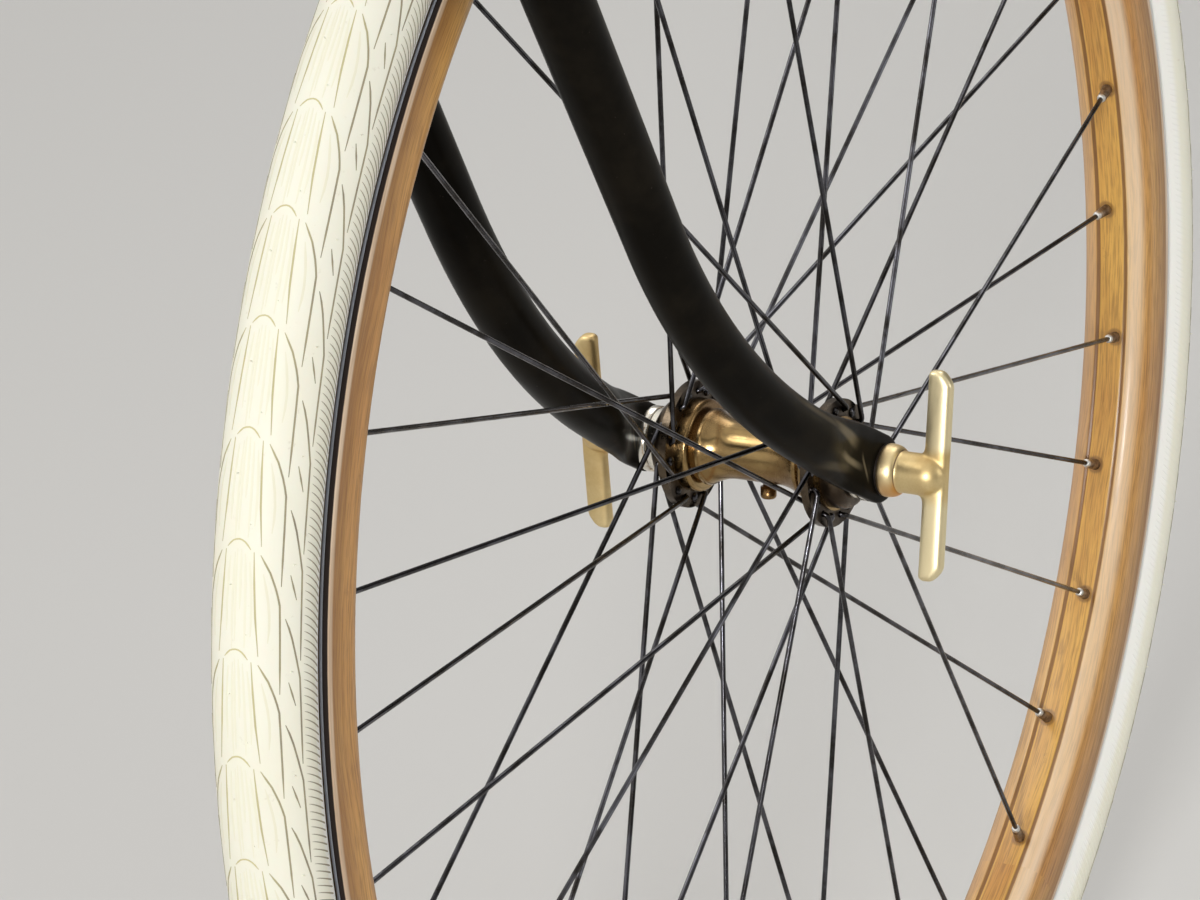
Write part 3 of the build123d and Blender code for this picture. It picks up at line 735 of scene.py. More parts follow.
@dataclass(frozen=True)
class LineFinish:
    """Lines of the tread's cuts and the sidewall's strokes, darker than the rubber: partly real soiling,
    partly painted shade of grooves. Where a colour for the front is given, the lines fade towards the wheel's
    front into the rubber's colour, as painted light where the lamps fall square on them.
    """

    name: str
    colour: Colour
    dirt_and_shade: Colour
    # Painted light: colours the lines take towards the wheel's front, those of the rubber below them.
    front_lit_colour: Colour | None = None
    front_lit_inner: Colour = (0.90, 0.89, 0.84)
    inner_radius: float = 326.5
    inner_fade: float = 1.5
    dirty_sides: tuple[float, float] = (2.0, 14.5)
    front_light_range: tuple[float, float] = (-80.0, 200.0)

    def build(self, centre: Vector) -> Material:
        """Makes the material with its coordinates' middle at the axle."""
        shader = Shader(self.name, centre)
        patchy = shader.effect(Effects.wear(), Scale=120.0, Share=0.5, Softness=0.3)
        side = shader.reach(shader.across, *self.dirty_sides)
        share = shader.times(side, shader.span(patchy, 0.0, 1.0, 0.7, 1.0))
        # Darker in patches towards the sides: partly soiling, partly painted shade of the cuts.
        colour = shader.mix(share, self.colour, self.dirt_and_shade)
        # Painted light: towards the wheel's front the lines fade into the rubber's colour, as where the lamps
        # fall square on them and no shade shows.
        if self.front_lit_colour:
            low, high = self.inner_radius - self.inner_fade, self.inner_radius + self.inner_fade
            front_lit = shader.mix(shader.reach(shader.radius, low, high), self.front_lit_inner, self.front_lit_colour)
            colour = shader.mix(shader.reach(shader.parts[0], *self.front_light_range), colour, front_lit)
        shader.feed(Base_Color=colour, Roughness=shader.span(patchy, 0.0, 1.0, 0.7, 0.9))
        return shader.material


@dataclass(frozen=True)
class WoodFinish:
    """Varnished hardwood with its grain along the rim, from the rim's own map."""

    name: str = "varnished_wood"
    honey: Colour = (0.56, 0.262, 0.036)
    pale: Colour = (0.72, 0.405, 0.082)
    brown: Colour = (0.16, 0.062, 0.010)
    red: Colour = (0.42, 0.150, 0.022)
    pink: Colour = (0.56, 0.285, 0.13)
    # Painted highlight: pale colour on the rim's beads, in place of the lamp's reflection in the varnish.
    glow: Colour = (0.92, 0.755, 0.555)
    # Painted highlight: pale colour along the rim's outer corners.
    edge: Colour = (0.82, 0.65, 0.48)
    tape: Colour = (0.46, 0.49, 0.56)
    # Painted shade: near black on the lip's top, where tyre and rim meet in shade.
    lip: Colour = (0.012, 0.006, 0.004)
    lip_radius: float = 316.6
    tape_half: float = 12.1
    # Radius about which the painted shade towards the rim's outer edge is centred.
    outer_radius: float = 309.0
    crease: float = 5.35
    inner_radius: float = 294.5
    map_radius: float = 317.0
    pink_half: tuple[float, float] = (7.2, 9.2)
    # Distances across the rim over which the painted highlight on the bead fades out.
    highlight_end: tuple[float, float] = (10.9, 13.5)
    corner_highlight_radii: tuple[float, float] = (313.8, 315.2)
    corner_highlight_half: tuple[float, float] = (12.8, 13.4)
    first_nipple: float = 62.35
    nipples: int = 36
    stagger: float = 2.0
    halo: float = 2.9
    halo_fade: float = 1.1

    def halos(self, shader: Shader, along: Socket) -> Socket:
        """Mask of a dark ring round each nipple, from the place along the rim and across it."""
        pitch = 2 * math.tau * self.map_radius / self.nipples * MM
        start = math.radians(self.first_nipple) * self.map_radius * MM
        masks = []
        for sign, offset in ((-1, 0.0), (1, 0.5 * pitch)):
            shifted = shader.maths("ADD", along, 50.5 * pitch - start + offset)
            turned = shader.maths("SUBTRACT", shader.maths("MODULO", shifted, pitch), pitch / 2)
            round_rim = shader.times(turned, self.inner_radius / self.map_radius)
            aside = shader.maths("SUBTRACT", shader.parts[1], sign * self.stagger * MM)
            away = shader.length(round_rim, aside)
            masks.append(shader.reach(away, self.halo, self.halo + self.halo_fade, 1.0, 0.0))
        return shader.maths("MAXIMUM", *masks)

    def build(self, centre: Vector) -> Material:
        """Makes the material with its coordinates' middle at the axle."""
        shader = Shader(self.name, centre)
        across, radius = shader.across, shader.radius
        along, over, _ = shader.split(shader.node("ShaderNodeUVMap", uv_map="grain").outputs[0])
        sway = shader.effect(Effects.grain(), Scale=9.0, Detail=1.0)
        bent = shader.maths("ADD", over, shader.times(sway, 0.012))

        def stretched(lengthwise: float, crosswise: float, level: float) -> Socket:
            """Place on the rim's map, drawn out along the grain, on a level of its own."""
            return shader.vector(shader.times(along, lengthwise), shader.times(bent, crosswise), level)

        fibre = stretched(75.0, 1500.0, 3.0)
        broad = shader.effect(Effects.grain(), stretched(2.4, 70.0, 7.0), Scale=1.0, Detail=3.0)
        streaks = shader.effect(Effects.grain(), stretched(9.0, 420.0, 0.0), Scale=1.0, Detail=5.0)
        fibres = shader.effect(Effects.grain(), fibre, Scale=1.0, Detail=3.0)
        pores = shader.effect(Effects.wear(), fibre, Scale=0.7, Share=0.68, Softness=0.05)
        knots = shader.effect(Effects.wear(), Scale=85.0, Share=0.70, Softness=0.05)
        reddish = shader.effect(Effects.wear(), Scale=7.0, Share=0.56, Softness=0.2)
        # Painted highlight on the bead between the crease and the outer edge: full on the wheel's right side,
        # weaker on its left.
        bead = shader.times(shader.reach(across, self.crease + 0.9, self.crease + 1.9),
                            shader.reach(across, *self.highlight_end, 1.0, 0.0))
        bead_highlight = shader.times(bead, shader.reach(shader.parts[1], -2.0, 2.0, 1.0, 0.3))
        corner = shader.times(shader.reach(radius, *self.corner_highlight_radii), shader.reach(across, *self.corner_highlight_half))
        # Masks of the painted shade in each crease, near the inner band.
        crease = shader.band(across, self.crease + 0.45, 0.55, 0.4)
        low = shader.reach(radius, self.inner_radius + 1.5, self.inner_radius + 2.5, 0.8, 0.0)
        top = shader.reach(radius, self.lip_radius - 0.15, self.lip_radius + 0.15)
        taped = shader.reach(across, self.tape_half - 0.1, self.tape_half + 0.1, 1.0, 0.0)
        layers = (
            (shader.span(broad, 0.34, 0.66), self.pale),
            (shader.times(shader.reach(across, *self.pink_half), 0.3), self.pink),
            (shader.times(reddish, 0.62), self.red),
            (shader.span(streaks, 0.44, 0.70, 0.0, 0.26), self.brown),
            (shader.span(fibres, 0.42, 0.66, 0.0, 0.46), self.brown),
            (shader.times(pores, 0.6), self.brown),
            (shader.times(knots, 0.35), self.brown),
            # Painted highlight on the bead, in place of the lamp's reflection in the varnish.
            (shader.times(bead_highlight, shader.span(broad, 0.3, 0.7, 0.82, 0.42)), self.glow),
            # Painted shade: the wood turns darker towards the rim's outer edge.
            (shader.reach(radius, self.outer_radius - 5.0, self.outer_radius + 6.0, 0.0, 0.58), self.brown),
            # Painted highlight along the rim's outer corner, broken by the grain's streaks.
            (shader.times(corner, shader.span(streaks, 0.3, 0.6, 0.85, 0.5)), self.edge),
            # Painted highlight: a pale line on the inner side of each crease.
            (shader.times(shader.band(across, self.crease - 0.75, 0.25, 0.3), 0.45), self.pale),
            # Painted shade: darker in each crease, near the inner band.
            (shader.times(crease, low), self.brown),
            (shader.times(self.halos(shader, along), 0.6), self.brown),
            # Painted shade: the lip's top is near black beyond the tape, where tyre and rim meet in shade.
            (top, shader.mix(taped, self.lip, self.tape)),
        )
        rough = shader.maths("MAXIMUM", shader.span(streaks, 0.3, 0.7, 0.44, 0.6), top)
        shader.feed(Base_Color=shader.layered(self.honey, layers), Roughness=rough,
                    Coat_Weight=shader.span(top, 0.0, 1.0, 0.5, 0.0), Coat_Roughness=0.26)
        shader.bump(fibres, 0.05, 0.25)
        return shader.material


@dataclass(frozen=True)
class FloorFinish:
    """Plain pale floor with a trace of unevenness, which stays pale far from the lamps."""

    name: str = "studio_floor"
    colour: Colour = (0.68, 0.67, 0.65)
    uneven: float = 0.97
    near: float = 0.9
    far: float = 4.5
    glow: float = 0.42

    def build(self, centre: Vector) -> Material:
        """Makes the material with its coordinates' middle at a centre."""
        shader = Shader(self.name, centre)
        cloud = shader.effect(Effects.grain(), Scale=0.9, Detail=2.0)
        darker = tuple(part * self.uneven for part in self.colour)
        away = shader.make("ShaderNodeVectorMath", {0: shader.place}, "Value", operation="LENGTH")
        glow = shader.span(away, self.near, self.far, 0.0, self.glow)
        shader.feed(Base_Color=shader.mix(cloud, self.colour, darker), Roughness=0.9, Specular_IOR_Level=0.1,
                    Emission_Color=(*self.colour, 1.0), Emission_Strength=shader.times(shader.seen(), glow))
        return shader.material


# Studio


@dataclass
class PhotoCamera:
    """Camera at the photograph's viewing angle, worked out for an image of 1200 by 900."""

    focal_pixels: float = 6371.3
    scale: float = 2.814
    azimuth: float = -60.70
    elevation: float = 14.08
    axle_pixel: tuple[float, float] = (762.5, 452.9)
    roll: float = 12.34
    image: tuple[float, float] = (1200.0, 900.0)
    sensor: float = 36.0
    clip: tuple[float, float] = (0.05, 60.0)

    def build(self, axle: Axle) -> tuple[Vector, Vector, Vector]:
        """Makes the camera and returns its right, up and back directions."""
        turn = math.radians(self.azimuth)
        rise = math.radians(self.elevation)
        back = Vector((math.sin(turn) * math.cos(rise), -math.cos(turn) * math.cos(rise), math.sin(rise)))
        right = Vector((math.cos(turn), math.sin(turn), 0))
        up = back.cross(right)
        reach = self.focal_pixels / self.scale * MM
        aside = (self.axle_pixel[0] - self.image[0] / 2) / self.focal_pixels * reach
        below = (self.axle_pixel[1] - self.image[1] / 2) / self.focal_pixels * reach
        lean = Matrix.Rotation(math.radians(self.roll), 3, "Y")
        place = lean @ (back * reach - right * aside + up * below) + axle.hub
        right, up, back = lean @ right, lean @ up, lean @ back
        camera = bpy.data.cameras.new("camera")
        camera.sensor_width = self.sensor
        camera.lens = self.focal_pixels / self.image[0] * self.sensor
        camera.clip_start, camera.clip_end = self.clip
        holder = new_object("camera", camera)
        pose = Matrix((right, up, back)).transposed().to_4x4()
        pose.translation = place
        holder.matrix_world = pose
        bpy.context.scene.camera = holder
        return right, up, back


@dataclass(frozen=True)
class Lamp:
    """Square soft lamp, placed in metres by the camera's directions from the hub, its spread in degrees."""

    name: str
    place: tuple[float, float, float]
    size: float
    power: float
    spread: float = 180.0

    def build(self, axle: Axle, right: Vector, up: Vector, back: Vector) -> None:
        """Adds the lamp, which looks at the hub."""
        data = bpy.data.lights.new(self.name, "AREA")
        data.size = self.size
        data.energy = self.power
        data.spread = math.radians(self.spread)
        lamp = new_object(self.name, data)
        offset = right * self.place[0] + up * self.place[1] + back * self.place[2]
        lamp.location = axle.hub + offset
        lamp.rotation_euler = offset.to_track_quat("Z", "Y").to_euler()


@dataclass
class Studio:
    """Pale floor, soft lamps and a surround that is brighter on the key lamp's side, in metres."""

    floor_size: float = 24.0
    floor_height: float = -0.684
    daylight: Colour = (1.0, 0.985, 0.96)
    daylight_level: float = 0.40
    bright: float = 1.0
    dim: float = 0.10
    plain: float = 0.80
    aside: float = 0.6
    above: float = 0.8
    fade: tuple[float, float] = (-0.25, 0.9)
    lamps: tuple[Lamp, ...] = (
        Lamp("key", (-0.75, -0.5, 3.4), size=0.5, power=6.9, spread=60.0),
        Lamp("side", (-1.6, 1.4, 0.6), size=1.0, power=12.0),
        Lamp("top", (0.3, 2.0, -0.4), size=1.0, power=10.0),
        Lamp("fill", (2.2, 0.7, 0.9), size=1.2, power=10.0),
    )

    def build(self, axle: Axle, right: Vector, up: Vector, back: Vector) -> None:
        """Sets the floor, the world and the lamps, which are placed by the camera's directions."""
        self.add_floor()
        self.surround(-right * self.aside + Vector((0, 0, self.above)))
        for lamp in self.lamps:
            lamp.build(axle, right, up, back)

    def add_floor(self) -> None:
        """Lays the floor."""
        work = bmesh.new()
        half = self.floor_size / 2
        corners = ((-half, -half), (half, -half), (half, half), (-half, half))
        work.faces.new([work.verts.new((x, y, self.floor_height)) for x, y in corners])
        mesh = bpy.data.meshes.new("floor")
        work.to_mesh(mesh)
        work.free()
        floor = new_object("floor", mesh)
        floor.data.materials.append(FloorFinish().build(Vector((0, 0, 0))))

    def surround(self, towards: Vector) -> None:
        """Sets the world: even daylight, and where it is seen or mirrored, a gradient towards a direction."""
        world = bpy.data.worlds.new("studio")
        bpy.context.scene.world = world
        world.use_nodes = True
        nodes = world.node_tree.nodes
        graph = Graph(world.node_tree)
        light = nodes["Background"]
        graph.put((*self.daylight, 1), light.inputs["Color"])
        graph.put(self.daylight_level, light.inputs["Strength"])
        looked = graph.node("ShaderNodeTexCoord").outputs["Generated"]
        facing = graph.make("ShaderNodeVectorMath", {0: looked, 1: tuple(towards.normalized())}, "Value",
                            operation="DOT_PRODUCT")
        level = graph.span(facing, *self.fade, self.dim, self.bright)
        plain = graph.times(graph.node("ShaderNodeLightPath").outputs["Is Camera Ray"], self.plain)
        strength = graph.maths("MAXIMUM", level, plain)
        mirrored = graph.make("ShaderNodeBackground", {"Color": (*self.daylight, 1), "Strength": strength})
        blend = graph.make("ShaderNodeMixShader", {0: graph.seen(), 1: light.outputs[0], 2: mirrored})
        graph.put(blend, nodes["World Output"].inputs["Surface"])


# Pieces


@dataclass
class Dresser:
    """Gives each finished piece its body and material, and reports it."""

    nodes: dict

    def dress(self, piece: Solid, body: Body, finish: Material, replaced: Iterable[str]) -> Solid:
        """Dresses a piece.

        Args:
            piece: the finished mesh object.
            body: body it rides on.
            finish: its material.
            replaced: CAD nodes that it stands for.

        Returns:
            The piece.
        """
        piece.data.materials.clear()
        piece.data.materials.append(finish)
        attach(piece, body.value)
        names = list(replaced)
        if names:
            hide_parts(*names)
        piece.data.calc_loop_triangles()
        LOG.info("%s: %d triangles", piece.name, len(piece.data.loop_triangles))
        return piece

    def copy(self, name: str, body: Body, slot: str, finish: Material, sharp: float = 32.0) -> Solid:
        """Dresses a smooth copy of a CAD node, which it stands for.

        Args:
            name: the CAD node.
            body: body it rides on.
            slot: not used.
            finish: its material.
            sharp: edges that turn by more degrees than this stay sharp.

        Returns:
            The piece.
        """
        return self.dress(merged_copy(self.nodes[name], name + "_soft", sharp), body, finish, [name])


@dataclass
class Tyre:
    """Cream tyre: its casing, the cuts of its tread, the strokes of its sidewalls and moulding nubs.

    Paths on the tread are points of (degrees round the axle, degrees round the section from its crest).
    """

    wide_radius: float = 331.5
    half: float = 16.5
    base_radius: float = 317.3
    base_half: float = 10.6
    bed_depth: float = 4.5
    wall_power: float = 1.8
    wall_steps: int = 7
    crest_steps: int = 28
    segments: int = 252
    motifs: int = 63
    first_angle: float = 148.26
    cut_width: float = 0.62
    cut_height: float = 0.07
    cut_depth: float = 0.25
    cut_tip: float = 0.35
    centre_share: float = 0.8
    centre_cut: tuple = ((0.5, -14.0), (0.28, -10.5), (0.12, -7.0), (0.03, -3.5), (0.0, 0.0), (0.03, 3.9),
                         (0.1, 7.8), (0.26, 11.7), (0.45, 15.6))
    side_cuts: tuple = (
        ((0.6, 17.8), (2.2, 19.5), (4.0, 21.7), (6.0, 25.3)),
        ((0.73, 25.2), (1.18, 30.8), (1.63, 36.4), (2.05, 39.9), (2.47, 43.2), (2.9, 45.8), (3.35, 48.0),
         (4.8, 48.9), (6.7, 49.2), (8.05, 48.9)),
        ((4.04, 54.8), (4.55, 59.2), (5.14, 63.4), (6.2, 69.0), (7.3, 74.1), (8.5, 74.9), (9.8, 75.2),
         (11.0, 75.2), (12.1, 75.0)),
        ((1.74, 59.2), (2.4, 63.5), (3.08, 67.8)),
    )
    strokes: int = 13
    stroke_width: float = 0.66
    stroke_lift: float = 1.2
    stroke_start: float = 0.3
    stroke_steps: int = 8
    stroke_outer: float = 334.3
    stroke_inner: float = 323.6
    stroke_sweep: float = 1.08
    stroke_curve: float = 1.15
    flow_width: float = 0.8
    flow_lift: float = 0.4
    flow_steps: int = 5
    flow_spread: float = 0.28
    flow_turn: float = 2.2
    flow: tuple = ((-13.5, 1.1, 5.0), (-8.0, 0.7, 5.6), (-3.0, 0.5, 3.6), (1.6, 0.5, 5.3), (4.6, 0.7, 5.7),
                   (10.5, 0.9, 4.8), (29.0, 1.7, 5.3), (-29.0, 1.7, 5.3))
    nubs: tuple = ((2.4, 8.0, 1.1), (4.9, -12.0, 0.77), (1.2, -63.0, 0.88), (3.6, 84.0, 1.21))
    nub_foot: float = -0.2
    nub_radii: tuple = ((0, 0.32), (0.5, 0.2), (1, 0.1))
    nub_sides: int = 6

    def wall(self, radius: float) -> float:
        """Half width of the tyre below its widest place, on a curve that ends square to the axle there."""
        share = min(1.0, max(0.0, (self.wide_radius - radius) / (self.wide_radius - self.base_radius)))
        return self.half - (self.half - self.base_half) * share ** self.wall_power

    def casing(self, axle: Axle) -> Solid:
        """Makes the tyre's body."""
        height = self.wide_radius - self.base_radius
        radii = [self.base_radius + height * step / self.wall_steps for step in range(self.wall_steps)]
        wall = [(radius, self.wall(radius)) for radius in radii]
        crest = arc((self.wide_radius, 0.0), self.half, -90, 90, self.crest_steps)
        bed = hollow(self.base_radius, self.bed_depth, self.base_half)[1:-1]
        outline = sided(wall, Side.RIGHT) + crest + wall[::-1] + bed
        return axle.lathe("tyre_casing", outline, self.segments, sharp=50.0)

    def skin(self, axle: Axle, angle: float, turn: float, lift: float) -> Vector:
        """Point of the first motif's tread, lifted off it."""
        section = math.radians(turn)
        reach = self.half + lift
        radius = self.wide_radius + reach * math.cos(section)
        return axle.point(radius, self.first_angle + angle, reach * math.sin(section))

    def side_place(self, axle: Axle, angle: float, radius: float, lift: float) -> Vector:
        """Point on a side of the tyre, the left for a radius above 0 and the right below, lifted off it."""
        sign = math.copysign(1, radius)
        radius = abs(radius)
        if radius > self.wide_radius:
            half = math.sqrt(self.half ** 2 - (radius - self.wide_radius) ** 2)
        else:
            half = self.wall(radius)
        return axle.point(radius, angle, sign * (half + lift))

    def strip(self, work: BMesh, path: Outline, width: float, place: Callable[[float, float, float], Vector],
              start: float = 1.0) -> None:
        """Lays a thin closed strip along a path on the skin.

        Args:
            work: the mesh under construction.
            path: its points in the skin's own two directions.
            width: its width.
            place: turns a point of the path and a lift into a place in metres.
            start: share of the width at the path's first end.
        """
        centres = [place(first, second, 0.0) for first, second in path]
        rings = []
        for index, (first, second) in enumerate(path):
            raised = place(first, second, self.cut_height)
            outward = (raised - centres[index]).normalized()
            taper = start + (1 - start) * index / (len(path) - 1)
            taper *= self.cut_tip if index in (0, len(path) - 1) else 1.0
            edge = heading(centres, index).cross(outward).normalized() * width * MM / 2 * taper
            sunk = centres[index] - outward * self.cut_depth * MM
            rings.append([raised + edge, raised - edge, sunk - edge, sunk + edge])
        add_rings(work, rings)

    def tread_cuts(self, axle: Axle) -> Solid:
        """Makes the cuts of one motif on both sides."""
        work = bmesh.new()
        place = partial(self.skin, axle)
        self.strip(work, self.centre_cut, self.cut_width * self.centre_share, place)
        for cut in self.side_cuts:
            for side in Side:
                self.strip(work, sided(cut, side), self.cut_width, place)
        return finish_mesh("tread_cuts", work, 60.0)

    def sidewall_strokes(self, axle: Axle) -> Solid:
        """Makes the slanted strokes of one motif on both sidewalls."""
        work = bmesh.new()

        def place(angle: float, radius: float, lift: float) -> Vector:
            """Point on the sidewall, with the strokes' own lift."""
            return self.side_place(axle, angle, radius, lift * self.stroke_lift)

        pitch = 360 / self.motifs / self.strokes
        shares = [step / self.stroke_steps for step in range(self.stroke_steps + 1)]
        radii = [self.stroke_outer + (self.stroke_inner - self.stroke_outer) * share for share in shares]
        sweeps = [self.stroke_sweep * share ** self.stroke_curve for share in shares]
        for side in Side:
            for index in range(self.strokes):
                start = self.first_angle + index * pitch
                path = [(start + sweep, side.value * radius) for sweep, radius in zip(sweeps, radii)]
                self.strip(work, path, self.stroke_width, place, self.stroke_start)
        return finish_mesh("sidewall_strokes", work, 60.0)

    def flow_lines(self, axle: Axle) -> Solid:
        """Makes the faint lines that fan out below the crest of one motif."""
        work = bmesh.new()

        def place(angle: float, turn: float, lift: float) -> Vector:
            """Point on the tread, with the lines' own lift."""
            return self.skin(axle, angle, turn, lift * self.flow_lift)

        shares = [step / self.flow_steps for step in range(self.flow_steps + 1)]
        for turn, begin, end in self.flow:
            turns = [turn * (1 + self.flow_spread * math.sin(share * self.flow_turn)) for share in shares]
            path = [(begin + (end - begin) * share, around) for share, around in zip(shares, turns)]
            self.strip(work, path, self.flow_width, place)
        return finish_mesh("flow_lines", work, 60.0)

    def moulding_nubs(self, axle: Axle) -> Solid:
        """Makes the moulding nubs of one motif."""
        work = bmesh.new()
        for angle, turn, length in self.nubs:
            foot = self.skin(axle, angle, turn, self.nub_foot)
            tip = self.skin(axle, angle, turn, length)
            up = (tip - foot).normalized()
            aside = up.orthogonal().normalized()
            ahead = up.cross(aside)
            add_rings(work, [hoop(foot + (tip - foot) * share, aside, ahead, radius, self.nub_sides)
                             for share, radius in self.nub_radii])
        return finish_mesh("tread_nubs", work, 60.0)

    def build(self, axle: Axle, dresser: Dresser) -> None:
        """Builds and dresses the tyre."""
        rubber = RubberFinish().build(axle.hub)
        dresser.dress(self.casing(axle), Body.WHEEL, rubber, ["tyre"])
        # Tread cuts and sidewall strokes are painted darker than the rubber: partly soiling, partly painted
        # shade of grooves.
        dirt_and_shade = LineFinish("tread_cut_dirt_and_shade", (0.62, 0.56, 0.30), (0.27, 0.235, 0.17))
        grey = LineFinish("sidewall_stroke_dirt_and_shade", (0.42, 0.385, 0.28), (0.34, 0.305, 0.22), RubberFinish.colour)
        faint = LineFinish("tread_flow", (0.85, 0.825, 0.66), (0.80, 0.77, 0.60))
        repeated = (
            (self.tread_cuts, "tyre_cuts", dirt_and_shade.build(axle.hub)),
            (self.sidewall_strokes, "tyre_strokes", grey.build(axle.hub)),
            (self.flow_lines, "tyre_flow", faint.build(axle.hub)),
            (self.moulding_nubs, "tyre_nubs", rubber),
        )
        for motif, name, finish in repeated:
            piece = RingArray().build(motif(axle), name, self.motifs, 360 / self.motifs, axle, finish)
            dresser.dress(piece, Body.WHEEL, finish, [])


@dataclass
class WoodRim:
    """Wood rim with rounded shoulders, a hollow bed and a map of its own for the grain."""

    radius: float = 317.0
    width: float = 28.4
    depth: float = 22.5
    band: float = 4.9
    crease: tuple = ((0.0, -0.35), (0.06, 0.0), (0.4, 0.45), (0.4, 0.7))
    crease_width: float = 1.25
    shoulder: float = 8.5
    shoulder_steps: int = 12
    corner: float = 1.1
    corner_steps: int = 6
    lip: float = 2.9
    bed_depth: float = 4.5
    segments: int = 240
    joint_angle: float = -58.0

    def outline(self) -> Outline:
        """Section of the rim, from the middle of its inner band round to the bed and back."""
        inner = self.radius - self.depth
        half = self.width / 2
        foot = self.band + self.crease_width
        side = [(inner + depth, self.band + past) for depth, past in self.crease]
        side += dome((inner + self.shoulder, foot), (-self.shoulder, half - foot), self.shoulder_steps)
        side += arc((self.radius - self.corner, half - self.corner), self.corner, 90, 0, self.corner_steps)
        bed = hollow(self.radius, self.bed_depth, half - self.lip)
        return side + bed + sided(reversed(side), Side.RIGHT) + [(inner, 0.0)]

    def build(self, axle: Axle, dresser: Dresser) -> None:
        """Builds and dresses the rim, its map in metres along the rim and round its section."""
        outline = self.outline()
        lengths = [0.0]
        for before, after in zip(outline, outline[1:] + outline[:1]):
            lengths.append(lengths[-1] + math.dist(before, after))
        work = bmesh.new()
        layer = work.loops.layers.uv.new("grain")
        rows = add_rings(work, axle.rings(outline, self.segments, self.joint_angle), loop=True)
        for step, row in enumerate(rows):
            for corner, face in enumerate(row):
                marks = ((step, corner), (step, corner + 1), (step + 1, corner + 1), (step + 1, corner))
                for loop, (around, across) in zip(face.loops, marks):
                    along = math.tau * around / self.segments * self.radius * MM
                    loop[layer].uv = (along, lengths[across] * MM)
        rim = finish_mesh("wood_rim", work, 50.0, merge=False)
        dresser.dress(rim, Body.WHEEL, WoodFinish().build(axle.hub), ["rim"])


@dataclass(frozen=True)
class SpokeGroup:
    """Every fourth spoke: its side, first place, the way it leans and the flange's face it leaves."""

    name: str
    side: Side
    first: int
    lean: int
    face: int


